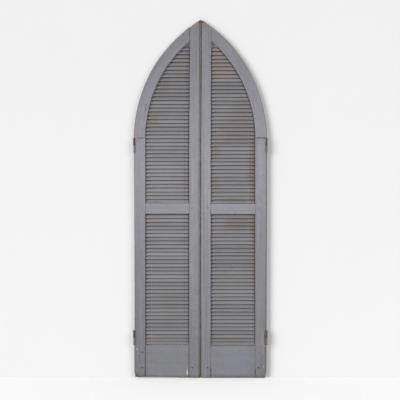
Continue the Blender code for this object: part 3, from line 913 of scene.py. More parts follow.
def slat_stations(length, near, far):
    """Places along a slat as (share of its length, offset, scale, dirt and painted shade), with a shoulder at each
    end.
    """
    def end(room, dirt):
        return [(room + HOUSING_DEPTH, SHOULDER_SCALE, dirt), (SHOULDER_CUT, SHOULDER_SCALE, dirt),
                (0.0, 1.0, dirt), (-END_DIRT_AND_SHADE_REACH, 1.0, 0.0)]

    count = max(2, round(length / SLAT_STEP))
    places = [(0.0, -past, scale, dirt) for past, scale, dirt in end(*near)]
    places += [(step / count, 0.0, 1.0, 0.0) for step in range(1, count)]
    return places + [(1.0, past, scale, dirt) for past, scale, dirt in reversed(end(*far))]


def make_slat(leaf, bottom, chance, marks):
    """Rings of one slat, uneven as it was set. Its edge, dirt and painted shade, grain and tone are added to the
    marks.
    """
    chord, height = slat_sizes(leaf)
    thickness = sizes().slat_thickness * chance.uniform(*SLAT_THICKNESS_RANGE)
    middle = bottom + height / 2 + chance.uniform(-1, 1) * sizes().slat_shift
    tilt = SLAT_TILT + chance.gauss(0, SLAT_TURN_SPREAD) * sizes().slat_wander
    twist = chance.gauss(0, SLAT_TURN_SPREAD) * sizes().slat_wander
    bow = chance.gauss(0, SLAT_BOW_SPREAD) * sizes().slat_shift
    tone = chance.gauss(0, 1) + SLAT_TONE[leaf.name]
    warmth = chance.random()
    start = chance.uniform(*SLAT_GRAIN_RANGE)
    near, far = slat_ends(leaf, bottom)
    first = leaf.meet_inner + near[0]
    length = opening_end(leaf, bottom) - far[0] - first
    profile = slat_profile(chord, thickness)
    rings = []
    for share, offset, scale, dirt in slat_stations(length, near, far):
        turn = tilt + twist * (share - 0.5)
        ring = []
        for along, through, edge in profile:
            spot = Vector((start + share * length, along, through))
            dent = 1 - SLAT_DENT * max(0.0, noise.noise(spot * NICK_RATE)) * edge
            a = along * scale * dent
            b = through * scale
            depth = a * math.cos(turn) - b * math.sin(turn)
            rise = middle + a * math.sin(turn) + b * math.cos(turn) + bow * math.sin(math.pi * share)
            u = first + share * (opening_end(leaf, rise) - far[0] - first) + offset
            ring.append(Vector((leaf.side * u + lean(leaf, rise) * (1 - share), depth, rise)))
            marks.edge.append(edge if along < 0 else 0.0)
            # A slat's joint mark carries the dirt and painted shade at its ends
            marks.joint.append(dirt)
            marks.grain.append((along, through, start + u))
            marks.slat.append((tone, warmth, along / chord + 0.5))
        rings.append(ring)
    return rings


def make_bank(leaf, bank, bottoms):
    """All slats of one bank as a single piece."""
    node = f"{leaf.name}_{bank}_louvers"
    chance = random.Random(BANK_SEEDS[node])
    marks = SimpleNamespace(edge=[], joint=[], grain=[], slat=[])
    lofts = [make_slat(leaf, bottom, chance, marks) for bottom in bottoms]
    made = marked_piece(node + "_slats", lofts, marks)
    dress(made, painted_slats(), leaf.body, "slat_paint", node)


def lower_bottoms(leaf):
    """Heights of the lower edges of the slats between the bottom rail and the lock rail."""
    height = slat_sizes(leaf)[1]
    travel = leaf.lock[0] - leaf.bottom[1] - height - 2 * SLAT_CLEARANCE
    steps = round(travel / SLAT_PITCH)
    bottoms = [leaf.bottom[1] + SLAT_CLEARANCE + travel * step / steps for step in range(steps + 1)]
    gap = RAIL_GAP[leaf.name]
    return [bottom + gap * RAIL_GAP_FALL[leaf.name]**step for step, bottom in enumerate(bottoms)]


def upper_bottoms(leaf):
    """Heights of the lower edges of the slats between the lock rail and the arch."""
    height = slat_sizes(leaf)[1]
    first = leaf.lock[1] + SLAT_CLEARANCE
    top = arch_height(leaf, leaf.inner_radius, leaf.meet_inner + SHORTEST_SLAT)
    count = 1 + int((top - first - height) / SLAT_PITCH)
    low, high = UPPER_STRAY[leaf.name]
    step_up = SLAT_PITCH + (high - low) / (count - 1)
    return [first + low + step_up * step for step in range(count)]


# Pegs and ironwork

def make_peg(leaf, node, centre, radius):
    """A peg, a little below the faces of its stile: bare and dark, or painted over."""
    bare = node in BARE_PEGS
    half = (leaf.back - leaf.front) / 2 - sizes().peg_recess * (1.0 if bare else PAINTED_RECESS)
    rim = radius - PEG_EASE
    profile = [(0, half), (rim / 2, half), (rim, half - PEG_EASE / 4), (radius, half - PEG_EASE),
               (radius, PEG_EASE - half), (rim, PEG_EASE / 4 - half), (rim / 2, -half), (0, -half)]
    made = as_piece(node + "_end_grain", turned(node, profile, [peg_place(centre)]))
    finish = peg_end_grain() if bare else plain_paint()
    dress(made, finish, leaf.body, "peg_wood" if bare else "grey_paint", node)


def read_hinge(leaf, level):
    """Sizes of one lift-off hinge from the boxes of its solids."""
    name = f"{leaf.name}_{level}_hinge"
    low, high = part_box(name + "_door_half")
    hinge = SimpleNamespace(name=name, low=low.z, high=high.z, middle=(low.z + high.z) / 2)
    outer = max(leaf.side * low.x, leaf.side * high.x)
    hinge.plate = (leaf.hang_outer - PLATE_THICKNESS, leaf.hang_outer)
    hinge.back = high.y
    hinge.knuckle = outer - leaf.pivot[0]
    mounts = {mount["name"]: mount for mount in frame["record"]["mounts"]}
    jamb = leaf.side * mounts[f"{leaf.name}_{level}_jamb_plate"]["pos_m"][0]
    hinge.jamb_plate = (jamb - PLATE_THICKNESS, jamb)
    pin_low, pin_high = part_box(name + "_pin")
    hinge.pin_radius = (pin_high.x - pin_low.x) / 2
    hinge.pin = (pin_low.z, pin_high.z)
    return hinge


def screw_profile(length, grow):
    """A countersunk screw from its domed head down, as (radius, height over the plate's face)."""
    return [
        (0, SCREW_DOME + grow),
        (DOME_SHOULDER_RADIUS + grow, DOME_SHOULDER + grow),
        (SCREW_HEAD_RADIUS + grow, 0),
        (SCREW_RADIUS + grow, -SCREW_HEAD_DEPTH),
        (SCREW_RADIUS + grow, SCREW_POINT - length),
        (0, -length - grow),
    ]


def screws_of(leaf, hinge):
    """Node, place on the plate's face and length of each screw in a hinge."""
    for number in (1, 2, 3):
        node = f"{hinge.name}_screw_{number}"
        low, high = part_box(node)
        face = Vector((leaf.side * leaf.hang_outer, (low.y + high.y) / 2, (low.z + high.z) / 2))
        yield node, face, high.x - low.x


def outward(leaf, face, way=1):
    """Place whose Z axis leaves a face towards the jamb, or towards the leaf where way is -1."""
    return Matrix.Translation(face) @ Matrix.Rotation(way * leaf.side * math.radians(90), 4, "Y")


def hinge_axis(leaf):
    """Place whose Z axis is the line that a leaf swings about."""
    return Matrix.Translation((leaf.side * leaf.pivot[0], leaf.pivot[1], 0))


def upright(leaf, low, high):
    """Places the points of a board that stands between two heights."""
    def place(u, depth, share):
        return Vector((leaf.side * u, depth, low + share * (high - low)))
    return place


def hinge_half(leaf, hinge, name, plate, heights, holes, seed):
    """A hinge plate with a knuckle rolled on its front edge and countersunk holes."""
    low, high = heights
    outer = hinge.knuckle
    bore = hinge.pin_radius + BORE_GAP
    axis = hinge_axis(leaf)
    flat = rectangle((plate[0], leaf.front), (plate[1], hinge.back))
    neck = rectangle((plate[0], leaf.pivot[1]), (plate[1], leaf.front + outer))
    made = board(name, flat, hinge.high - hinge.low, upright(leaf, hinge.low, hinge.high), seed,
                 PLATE_EASE, PLATE_EASE, PLATE_WEAR)
    rolled = board(name + "_neck", neck, high - low, upright(leaf, low, high), seed,
                   PLATE_EASE, PLATE_EASE, NECK_WEAR)
    combine(made, rolled.data.copy(), "UNION")
    bpy.data.objects.remove(rolled, do_unlink=True)
    cut = rod(bore, low - CUT_OVERRUN, high + CUT_OVERRUN)
    combine(made, turned(name + "_bore", cut, [axis]), "DIFFERENCE")
    ring = [(bore, high), (outer - KNUCKLE_EASE, high), (outer, high - KNUCKLE_EASE),
            (outer, low + KNUCKLE_EASE), (outer - KNUCKLE_EASE, low), (bore, low)]
    combine(made, turned(name + "_knuckle", ring, [axis], closed=True), "UNION")
    combine(made, turned(name + "_holes", screw_profile(SCREW_POINT * 2, BORE_GAP), holes), "DIFFERENCE")
    return made


def make_hinge(leaf, level, chance):
    """Both halves of a lift-off hinge, the leaf's screws and the pin."""
    hinge = read_hinge(leaf, level)
    screws = list(screws_of(leaf, hinge))
    half = KNUCKLE_GAP / 2
    door_holes = [outward(leaf, face) for _, face, _ in screws]
    door_heights = (hinge.middle + half, hinge.high)
    door_half = hinge_half(leaf, hinge, hinge.name + "_door_half_rusted", hinge.plate, door_heights,
                           door_holes, chance.uniform(*IRON_WEAR_RANGE))
    dress(door_half, rusted_iron(), leaf.body, "rusted_iron", hinge.name + "_door_half")
    shift = Vector((leaf.side * (hinge.jamb_plate[0] - leaf.hang_outer), 0, 0))
    jamb_holes = [outward(leaf, face + shift, -1) for _, face, _ in screws]
    jamb_heights = (hinge.low, hinge.middle - half)
    jamb_half = hinge_half(leaf, hinge, hinge.name + "_frame_half_painted", hinge.jamb_plate, jamb_heights,
                           jamb_holes, chance.uniform(*IRON_WEAR_RANGE))
    dress(jamb_half, painted_iron(), "jamb_hinges", "painted_iron", hinge.name + "_frame_half")
    for node, face, length in screws:
        make_screw(leaf, node, outward(leaf, face), length, chance.uniform(0, math.pi))
    make_pin(leaf, hinge)


def make_screw(leaf, node, place, length, turn):
    """A slotted screw, its slot left at whatever angle it was driven to."""
    made = as_piece(node + "_slotted", turned(node, screw_profile(length, 0), [place]))
    reach = SCREW_HEAD_RADIUS + CUT_OVERRUN
    slot = blocks(node + "_slot", [((-reach, -SLOT_WIDTH / 2, -SLOT_DEPTH),
                                    (reach, SLOT_WIDTH / 2, CUT_OVERRUN))])
    slot.transform(place @ Matrix.Rotation(turn, 4, "Z"))
    combine(made, slot, "DIFFERENCE")
    dress(made, rusted_iron(), leaf.body, "rusted_iron", node)


def make_pin(leaf, hinge):
    """The pin that stands in the jamb's half and carries the leaf's."""
    node = hinge.name + "_pin"
    low, high = hinge.pin
    radius = hinge.pin_radius
    profile = [(0, high), (radius - PIN_EASE, high), (radius, high - PIN_EASE), (radius, low), (0, low)]
    made = as_piece(node + "_rusted", turned(node, profile, [hinge_axis(leaf)]))
    dress(made, rusted_iron(), "jamb_hinges", "rusted_iron", node)


# Finishes

class Wire:
    """A shader socket in an expression: each operation on values adds a Math node."""

    def __init__(self, nodes, socket):
        self.nodes = nodes
        self.socket = socket

    def _math(self, operation, first, second):
        return self.nodes.add("Math", {"operation": operation}, {0: first, 1: second})

    def __add__(self, other):
        return self._math("ADD", self, other)

    def __radd__(self, other):
        return self._math("ADD", other, self)

    def __sub__(self, other):
        return self._math("SUBTRACT", self, other)

    def __rsub__(self, other):
        return self._math("SUBTRACT", other, self)

    def __mul__(self, other):
        return self._math("MULTIPLY", self, other)

    def __rmul__(self, other):
        return self._math("MULTIPLY", other, self)

    def __truediv__(self, other):
        return self._math("DIVIDE", self, other)

    def __rtruediv__(self, other):
        return self._math("DIVIDE", other, self)

    def __abs__(self):
        return self._math("ABSOLUTE", self, 0.0)


class Nodes:
    """A node tree that is filled by expressions."""

    def __init__(self, tree):
        self.tree = tree

    def add(self, kind, settings=None, sockets=None, output=0):
        """Adds a node: its settings first, then the values or links of its sockets."""
        node = self.tree.nodes.new("ShaderNode" + kind)
        for name, value in (settings or {}).items():
            setattr(node, name, value)
        for name, value in (sockets or {}).items():
            self.feed(node.inputs[name], value)
        return Wire(self, node.outputs[output])

    def feed(self, socket, value):
        """Links a wire to a socket, or sets the socket to a colour or number."""
        if isinstance(value, Wire):
            self.tree.links.new(value.socket, socket)
        elif socket.type == "RGBA":
            socket.default_value = (*value, 1.0)
        else:
            socket.default_value = value

    def noise(self, vector, scale, detail=3.0, roughness=0.5):
        """Smooth noise from 0 to 1 about 0.5."""
        return self.add("TexNoise", None, {"Vector": vector, "Scale": scale, "Detail": detail,
                                           "Roughness": roughness})

    def stretched(self, vector, factors):
        """A vector with each of its axes scaled."""
        return self.add("VectorMath", {"operation": "MULTIPLY"}, {0: vector, 1: factors})

    def axes(self, vector):
        """The three numbers of a vector."""
        split = self.add("SeparateXYZ", None, {0: vector}).socket.node
        return [Wire(self, socket) for socket in split.outputs]

    def step(self, value, low, high):
        """A smooth step from 0 at low to 1 at high, which may run either way."""
        return self.add("MapRange", {"interpolation_type": "SMOOTHSTEP", "clamp": True},
                        {"Value": value, "From Min": low, "From Max": high})

    def mix(self, factor, first, second):
        """A colour between two colours."""
        return self.add("Mix", {"data_type": "RGBA", "clamp_factor": True},
                        {0: factor, 6: first, 7: second}, 2)

    def blend(self, factor, first, second):
        """A shader between two shaders."""
        return self.add("MixShader", None, {0: factor, 1: first, 2: second})

    def shaded(self, tint, factor):
        """A colour made lighter or darker by a factor."""
        return self.add("VectorMath", {"operation": "SCALE"}, {0: tint, "Scale": factor})

    def attribute(self, name, output):
        """Values that a mesh keeps at its points."""
        return self.add("Attribute", {"attribute_name": name}, None, output)


def new_finish(name):
    """A material, its nodes, ready to fill, and the place of each point in the scene's own frame."""
    made = bpy.data.materials.new(name)
    made.use_nodes = True
    nodes = Nodes(made.node_tree)
    return made, nodes, nodes.add("TexCoord", None, None, "Object")


def close_finish(made, nodes, tint, roughness, relief, depth, metallic=0.0):
    """Feeds colour, roughness and a relief of a depth into the material's shader."""
    shader = made.node_tree.nodes["Principled BSDF"]
    bump = nodes.add("Bump", None, {"Strength": 1.0, "Distance": depth, "Height": relief})
    nodes.feed(shader.inputs["Base Color"], tint)
    nodes.feed(shader.inputs["Roughness"], roughness)
    nodes.feed(shader.inputs["Metallic"], metallic)
    nodes.feed(shader.inputs["Normal"], bump)
    return made


def cached(build):
    """Builds a finish once and hands out the same material after that."""
    key = build.__name__ + "_finish"

    def finish():
        return bpy.data.materials.get(key) or build(key)
    return finish


def stained(nodes, tint, place, ragged, stains):
    """Lays ragged stains, and painted shade, over a colour at their places."""
    x, _, z = nodes.axes(place)
    for middle_x, middle_z, half_width, half_height, stain, strength in stains:
        across = (x - middle_x) / half_width
        up = (z - middle_z) / half_height
        far = across * across + up * up + ragged
        tint = nodes.mix(nodes.step(far, 1.0, 0.1) * strength, tint, stain)
    return tint


def dimmed(nodes, tone, height, foot_shade, head_shade):
    """A tone with the shade towards the foot and the head of the doors."""
    tone = tone * (1 - nodes.step(height, FOOT_SHADE_TOP, 0.0) * foot_shade)
    return tone * (1 - nodes.step(height, HEAD_SHADE_START, CAD_BOX[1][2]) * head_shade)


def paint_patterns(nodes, place):
    """Patterns that the boards' paint is made of, from broad brush strokes to pits and cracks."""
    grain = nodes.attribute("grain", "Vector")
    mottle = nodes.noise(place, 16.0, 5.0, 0.6)
    specks = nodes.noise(place, 420.0, 2.0, 0.6)
    splits = nodes.noise(nodes.stretched(grain, (150.0, 150.0, 1.4)), 1.0, 2.0)
    return SimpleNamespace(
        broad=nodes.noise(nodes.stretched(grain, (75.0, 75.0, 2.2)), 1.0, 4.0, 0.6),
        streaks=nodes.noise(nodes.stretched(grain, (230.0, 230.0, 5.0)), 1.0, 3.0),
        hairs=nodes.noise(nodes.stretched(grain, (900.0, 900.0, 22.0)), 1.0, 2.0),
        clouds=nodes.noise(place, 3.2, 2.0),
        mottle=mottle,
        blotch=nodes.noise(place, 55.0, 3.0, 0.6),
        ragged=(nodes.noise(place, 38.0, 5.0, 0.65) - 0.5) * 2.2,
        pits=nodes.step(specks, 0.66, 0.74) * nodes.step(mottle, 0.45, 0.62),
        cracks=nodes.step(splits, 0.70, 0.74),
    )


def brushed_paint(nodes, place, brushed, marks):
    """Colour of the boards' paint: streaky, mottled and shaded, with dirt in its pits and cracks."""
    hues = colours()
    x, _, height = nodes.axes(place)
    warm = nodes.step(marks.clouds + marks.mottle * 0.4, 0.72, 1.0)
    brush = (marks.broad - 0.5) * 0.62 + (marks.streaks - 0.5) * 0.30 + (marks.hairs - 0.5) * 0.06
    tone = 1.0 + brush * brushed + (marks.mottle - 0.5) * 0.34 + (marks.blotch - 0.5) * 0.36
    tone = dimmed(nodes, tone, height, FOOT_SHADE, HEAD_SHADE)
    outer = nodes.step(abs(x), *OUTER_SHADE_ACROSS) * nodes.step(height, *OUTER_SHADE_HEIGHTS)
    tone = tone * (1 - outer * OUTER_SHADE)
    tint = nodes.shaded(nodes.mix(warm, hues.paint, hues.warm_paint), tone)
    tint = nodes.mix(marks.pits * 0.5, tint, hues.dirt)
    return nodes.mix(marks.cracks * 0.45, tint, hues.dirt)


@cached
def painted_wood(name):
    """Old brushed paint on the boards with stains, worn to wood along the edges, dirty in the joints, painted
    shade at edges and parting.
    """
    made, nodes, place = new_finish(name)
    hues = colours()
    marks = paint_patterns(nodes, place)
    ragged = marks.ragged
    edge = nodes.attribute("edge", "Fac")
    outer_edge_shade_share, brushed, _ = nodes.axes(nodes.attribute("paint", "Vector"))
    x, _, height = nodes.axes(place)
    tint = brushed_paint(nodes, place, brushed, marks)
    tint = stained(nodes, tint, place, ragged, BOARD_STAINS)
    foot = nodes.step(height + ragged * 0.02, *FOOT_DIRT_HEIGHTS)
    tint = nodes.mix(foot * 0.75, tint, hues.dirt)
    # Dirt and painted shade darken the eased corners
    tint = nodes.mix(nodes.step(edge, 0.5, 1.0) * 0.35, tint, hues.dirt)
    bare = nodes.step(edge + ragged * 0.30, 1.02, 1.30)
    tint = nodes.mix(bare * 0.85, tint, hues.weathered_wood)
    # Painted shade along the front of the outer edges, in the colour of the gaps
    tint = nodes.mix(outer_edge_shade_share * (0.8 + ragged * 0.2), tint, hues.gap_dirt)
    joint = nodes.step(nodes.attribute("joint", "Fac") + ragged * 0.10, 0.10, 0.70)
    tint = nodes.mix(joint * 0.9, tint, hues.gap_dirt)
    # Painted shade on the walls of the parting between the leaves
    parting = x - PARTING_X - nodes.step(height, LEAN_START, LEAN_END) * LEAN["right"]
    tint = nodes.mix(nodes.step(abs(parting), *PARTING_SHADE_ACROSS) * 0.9, tint, hues.gap_dirt)
    relief = marks.broad + marks.streaks * 0.5 + marks.hairs * 0.5 + marks.mottle * 0.6
    relief = relief - bare * 0.8 - marks.cracks * 0.8 - marks.pits * 0.5
    return close_finish(made, nodes, tint, 0.62 + marks.mottle * 0.16 + bare * 0.12, relief, 0.0007)


@cached
def plain_paint(name):
    """The boards' paint where it covers a peg."""
    made, nodes, place = new_finish(name)
    hues = colours()
    mottle = nodes.noise(place, 60.0, 4.0, 0.6)
    specks = nodes.noise(place, 500.0, 2.0)
    tint = nodes.mix(nodes.step(mottle, 0.45, 0.75) * 0.25, hues.paint, hues.dirt)
    tint = nodes.shaded(tint, 0.84 + specks * 0.2)
    return close_finish(made, nodes, tint, 0.6 + mottle * 0.2, mottle + specks * 0.4, 0.0006)


@cached
def painted_slats(name):
    """Thinner, dirtier paint on the slats, each slat a little different, with brown and olive stains and painted
    shade at backs and ends.
    """
    made, nodes, place = new_finish(name)
    hues = colours()
    grain = nodes.attribute("grain", "Vector")
    edge = nodes.attribute("edge", "Fac")
    slat_tone, warmth, depth = nodes.axes(nodes.attribute("slat", "Vector"))
    _, _, height = nodes.axes(place)
    streaks = nodes.noise(nodes.stretched(grain, (420.0, 420.0, 6.0)), 1.0, 3.0)
    hairs = nodes.noise(nodes.stretched(grain, (1500.0, 1500.0, 26.0)), 1.0, 2.0)
    mottle = nodes.noise(place, 22.0, 5.0, 0.6)
    clouds = nodes.noise(place, 4.0, 2.0)
    warm = nodes.step(clouds + warmth * 0.35 + mottle * 0.3, 0.78, 1.08)
    tint = nodes.mix(warm * 0.28, hues.slat_paint, hues.weathered_wood)
    tone = 0.84 + slat_tone * 0.055 + streaks * 0.14 + hairs * 0.06 + mottle * 0.14
    tint = nodes.shaded(tint, dimmed(nodes, tone, height, SLAT_FOOT_SHADE, SLAT_HEAD_SHADE))
    ragged = (nodes.noise(place, 46.0, 5.0, 0.65) - 0.5) * 2.4
    # Stains, and lines of painted shade, on the slats
    tint = stained(nodes, tint, place, ragged, SLAT_STAINS_AND_SHADE)
    # Dust and painted shade towards the back of each slat, where the slat above shades it
    dust_and_shade = nodes.step(depth + ragged * 0.10, 0.45, 1.0)
    tint = nodes.mix(dust_and_shade * 0.06, tint, hues.dirt)
    # Dirt and painted shade at the slats' ends, beside the stiles
    corner = nodes.step(nodes.attribute("joint", "Fac") + ragged * 0.10, 0.10, 0.80)
    tint = nodes.mix(corner * 0.85, tint, hues.dirt)
    bare = nodes.step(edge + ragged * 0.30, 1.06, 1.34)
    tint = nodes.mix(bare * 0.7, tint, hues.weathered_wood)
    relief = streaks * 0.6 + hairs * 0.5 + mottle * 0.5 - bare * 0.6
    return close_finish(made, nodes, tint, 0.66 + mottle * 0.16, relief, 0.0006)


@cached
def bare_wood(name):
    """Clean softwood with straight grain, for the tongues hidden in the joints."""
    made, nodes, place = new_finish(name)
    hues = colours()
    bent = nodes.noise(place, 18.0, 2.0)
    rings = nodes.noise(nodes.stretched(place, (320.0, 320.0, 9.0)), 1.0, 4.0)
    tint = nodes.mix(nodes.step(rings + bent * 0.3, 0.45, 0.85), hues.bare_wood, hues.weathered_wood)
    return close_finish(made, nodes, tint, 0.75 + rings * 0.15, rings, 0.0004)


@cached
def peg_end_grain(name):
    """Dark end grain of a peg, with rings, checks and the rest of the paint."""
    made, nodes, place = new_finish(name)
    hues = colours()
    blotch = nodes.noise(place, 240.0, 4.0, 0.6)
    fibres = nodes.noise(nodes.stretched(place, (2400.0, 120.0, 2400.0)), 1.0, 2.0)
    tint = nodes.mix(nodes.step(blotch, 0.52, 0.80) * 0.4, hues.peg_wood, hues.paint)
    tint = nodes.shaded(tint, 0.75 + fibres * 0.5)
    return close_finish(made, nodes, tint, 0.7 + blotch * 0.2, fibres + blotch, 0.0005)


@cached
def rusted_iron(name):
    """Dark iron under scaly rust, pitted, rubbed brighter here and there."""
    made, nodes, place = new_finish(name)
    hues = colours()
    scale = nodes.noise(place, 160.0, 6.0, 0.65)
    patch = nodes.noise(place, 45.0, 4.0, 0.6)
    pits = nodes.noise(place, 900.0, 3.0, 0.6)
    rusty = nodes.step(patch + scale * 0.5, 0.62, 0.92)
    tint = nodes.mix(rusty * 0.8, hues.iron, hues.rust)
    tint = nodes.shaded(tint, 0.7 + scale * 0.5 + pits * 0.15)
    relief = scale * 0.8 + pits * 0.5
    return close_finish(made, nodes, tint, 0.5 + rusty * 0.35, relief, 0.0006, 0.55 - rusty * 0.5)


@cached
def painted_iron(name):
    """Grey paint on iron, brushed on thick, chipped to rust in spots, dirty, with painted shade on the right."""
    made, nodes, place = new_finish(name)
    hues = colours()
    edge = nodes.attribute("edge", "Fac")
    cloud = nodes.noise(place, 60.0, 4.0, 0.6)
    brush = nodes.noise(nodes.stretched(place, (900.0, 900.0, 40.0)), 1.0, 3.0)
    chips = nodes.step(nodes.noise(place, 150.0, 5.0, 0.6) + edge * 0.06, 0.60, 0.66)
    x, _, _ = nodes.axes(place)
    # Dirt in clouds, and painted shade that darkens the halves on the right, the side away from the key light
    dirt_and_jamb_shade = nodes.step(x, *JAMB_SHADE_ACROSS) * JAMB_SHADE + cloud * 0.3
    tint = nodes.mix(dirt_and_jamb_shade, hues.painted_iron, hues.dirt)
    tint = nodes.shaded(tint, 0.94 + brush * 0.12)
    tint = nodes.mix(chips * 0.8, tint, hues.rust)
    return close_finish(made, nodes, tint, 0.45 + cloud * 0.2, brush * 0.5 - chips, 0.0004)


# Stage

def sheet(name, corners, finish):
    """A flat backdrop through four corners, which takes shadows but throws no light or shade itself."""
    shape = bmesh.new()
    shape.faces.new([shape.verts.new(corner) for corner in corners])
    made = as_piece(name, as_mesh(name, shape))
    made.data.materials.append(finish)
    made.visible_diffuse = False
    made.visible_glossy = False
    made.visible_transmission = False
    made.visible_shadow = False


def plaster(name, tint, glow=0.0, one_sided=False):
    """Even matt plaster, a little darker higher up. A one-sided sheet is clear from behind."""
    made, nodes, place = new_finish(name)
    cloud = nodes.noise(place, 1.3, 3.0)
    _, _, height = nodes.axes(place)
    level = 1.01 + cloud * 0.02 - nodes.step(height, 0.0, WALL_FADE_TOP) * WALL_FADE
    close_finish(made, nodes, nodes.shaded(tint, level), 0.95, cloud, 0.0002)
    shader = made.node_tree.nodes["Principled BSDF"]
    shader.inputs["Specular IOR Level"].default_value = 0.0
    shader.inputs["Emission Color"].default_value = (1.0, 1.0, 1.0, 1.0)
    shader.inputs["Emission Strength"].default_value = glow
    if one_sided:
        out = made.node_tree.nodes["Material Output"]
        behind = nodes.add("NewGeometry", None, None, "Backfacing")
        clear = nodes.add("BsdfTransparent")
        front = Wire(nodes, shader.outputs[0])
        nodes.feed(out.inputs["Surface"], nodes.blend(behind, front, clear))
    return made


def make_sun(name, strength, side):
    """A soft light from the front, a little above the middle and off to one side."""
    light = bpy.data.lights.new(name, "SUN")
    light.energy = strength
    light.angle = SUN_SPREAD
    made = bpy.data.objects.new(name, light)
    flat = math.cos(SUN_HEIGHT)
    towards = Vector((math.sin(side) * flat, -math.cos(side) * flat, math.sin(SUN_HEIGHT)))
    made.rotation_euler = towards.to_track_quat("Z", "Y").to_euler()
    bpy.context.scene.collection.objects.link(made)


def make_world():
    """Soft light all round, stronger from above and in front, behind a pale view."""
    world = bpy.data.worlds.new("soft_light")
    world.use_nodes = True
    bpy.context.scene.world = world
    nodes = Nodes(world.node_tree)
    out = world.node_tree.nodes["World Output"]
    _, ahead, up = nodes.axes(nodes.add("TexCoord", None, None, "Generated"))

    def glow(strength):
        return nodes.add("Background", None, {"Color": (1.0, 1.0, 1.0), "Strength": strength})

    front = nodes.blend(nodes.step(up, *SKY_RISE), glow(SKY_LOW), glow(SKY_HIGH))
    light = nodes.blend(nodes.step(ahead, *SKY_BACK_TURN), front, glow(SKY_BACK))
    path = nodes.add("LightPath").socket.node
    camera, glossy, clear = [Wire(nodes, path.outputs[f"Is {ray} Ray"]) for ray in (
        "Camera", "Glossy", "Transmission")]
    nodes.feed(out.inputs["Surface"], nodes.blend(camera + glossy + clear, light, glow(SKY_SEEN)))


def make_camera():
    """The camera that takes the front view."""
    data = bpy.data.cameras.new("front_camera")
    data.lens = CAMERA_LENS
    data.sensor_width = CAMERA_SENSOR
    data.clip_end = CAMERA_REACH
    distance = VIEW_WIDTH * CAMERA_LENS / CAMERA_SENSOR
    made = bpy.data.objects.new("front_camera", data)
    made.location = (VIEW_MIDDLE[0], LEAVES[0].front - distance, VIEW_MIDDLE[1])
    made.rotation_euler = (math.radians(90), 0, 0)
    bpy.context.scene.collection.objects.link(made)
    bpy.context.scene.camera = made


# Operators

class DOORS_OT_stage(bpy.types.Operator):
    """Set the floor, the wall, the soft light and the camera"""

    bl_idname = "doors.stage"
    bl_label = "Stage"

    def execute(self, context):
        context.scene.view_settings.view_transform = "Standard"
        low = -FLOOR_DROP
        far = FLOOR_REACH
        floor = [(-far, -far, low), (far, -far, low), (far, far, low), (-far, far, low)]
        sheet("floor", floor, plaster("floor_plaster", colours().floor, FLOOR_GLOW))
        back = LEAVES[0].back + sizes().wall_gap
        side = WALL_REACH
        wall = [(-side, back, low), (side, back, low), (side, back, side), (-side, back, side)]
        sheet("wall", wall, plaster("wall_plaster", colours().wall, one_sided=True))
        make_sun("key", KEY_STRENGTH, KEY_SIDE)
        make_sun("fill", FILL_STRENGTH, FILL_SIDE)
        make_world()
        make_camera()
        return {"FINISHED"}


class DOORS_OT_stiles(bpy.types.Operator):
    """Cut the hanging stiles, arch pieces and meeting stiles of both leaves"""

    bl_idname = "doors.stiles"
    bl_label = "Stiles and arch pieces"

    def execute(self, context):
        for leaf in LEAVES:
            make_hanging_stile(leaf)
            make_arch_stile(leaf)
            make_meeting_stile(leaf)
        return {"FINISHED"}


class DOORS_OT_rails(bpy.types.Operator):
    """Cut the lock rails and bottom rails of both leaves"""

    bl_idname = "doors.rails"
    bl_label = "Rails"

    def execute(self, context):
        for leaf in LEAVES:
            make_rail(leaf, "lock_rail")
            make_rail(leaf, "bottom_rail")
        return {"FINISHED"}


class DOORS_OT_slats(bpy.types.Operator):
    """Set the slats above and below the lock rails"""

    bl_idname = "doors.slats"
    bl_label = "Slats"

    def execute(self, context):
        for leaf in LEAVES:
            make_bank(leaf, "upper", upper_bottoms(leaf))
            make_bank(leaf, "lower", lower_bottoms(leaf))
        return {"FINISHED"}


class DOORS_OT_pegs(bpy.types.Operator):
    """Drive the pegs through the tenons"""

    bl_idname = "doors.pegs"
    bl_label = "Pegs"

    def execute(self, context):
        for leaf in LEAVES:
            for stile in ("hanging", "meeting"):
                for node, (centre, radius) in peg_centres(leaf, stile).items():
                    make_peg(leaf, node, centre, radius)
        return {"FINISHED"}


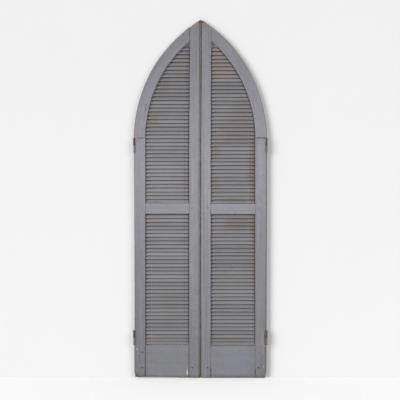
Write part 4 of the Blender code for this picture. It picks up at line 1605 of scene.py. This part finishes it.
class DOORS_OT_hinges(bpy.types.Operator):
    """Forge the lift-off hinges with their pins and screws"""

    bl_idname = "doors.hinges"
    bl_label = "Hinges, pins and screws"

    def execute(self, context):
        chance = random.Random(HINGE_SEED)
        for leaf in LEAVES:
            for level in HINGE_LEVELS:
                make_hinge(leaf, level, chance)
        return {"FINISHED"}


class DOORS_OT_tongues(bpy.types.Operator):
    """Give the tongues hidden in the joints their wood"""

    bl_idname = "doors.tongues"
    bl_label = "Hidden tongues"

    def execute(self, context):
        for leaf in LEAVES:
            for joint in ("spring", "apex"):
                tongue = frame["nodes"][f"{leaf.name}_{joint}_tongue"]
                tongue.data.materials.clear()
                tongue.data.materials.append(bare_wood())
        return {"FINISHED"}


STEPS = (DOORS_OT_stage, DOORS_OT_stiles, DOORS_OT_rails, DOORS_OT_slats, DOORS_OT_pegs, DOORS_OT_hinges,
         DOORS_OT_tongues)


class DOORS_PT_panel(bpy.types.Panel):
    """Steps that dress the doors, and the sizes and colours that they use"""

    bl_idname = "DOORS_PT_panel"
    bl_label = "Arched louvered doors"
    bl_space_type = "VIEW_3D"
    bl_region_type = "UI"
    bl_category = "Doors"

    def draw(self, context):
        for step in STEPS:
            self.layout.operator(step.bl_idname)
        for group in (context.scene.door_sizes, context.scene.door_colours):
            box = self.layout.box()
            for name in group.__annotations__:
                box.prop(group, name)


CLASSES = (DoorSizes, DoorColours, *STEPS, DOORS_PT_panel)


def register():
    """Adds the classes, and their sizes and colours to the scene."""
    for item in CLASSES:
        bpy.utils.register_class(item)
    bpy.types.Scene.door_sizes = PointerProperty(type=DoorSizes)
    bpy.types.Scene.door_colours = PointerProperty(type=DoorColours)


def unregister():
    """Takes away what register has added."""
    del bpy.types.Scene.door_colours
    del bpy.types.Scene.door_sizes
    for item in reversed(CLASSES):
        bpy.utils.unregister_class(item)


def main():
    """Dresses the doors step by step."""
    register()
    bpy.ops.doors.stage()
    bpy.ops.doors.stiles()
    bpy.ops.doors.rails()
    bpy.ops.doors.slats()
    bpy.ops.doors.pegs()
    bpy.ops.doors.hinges()
    bpy.ops.doors.tongues()


if __name__ == "__main__":
    main()
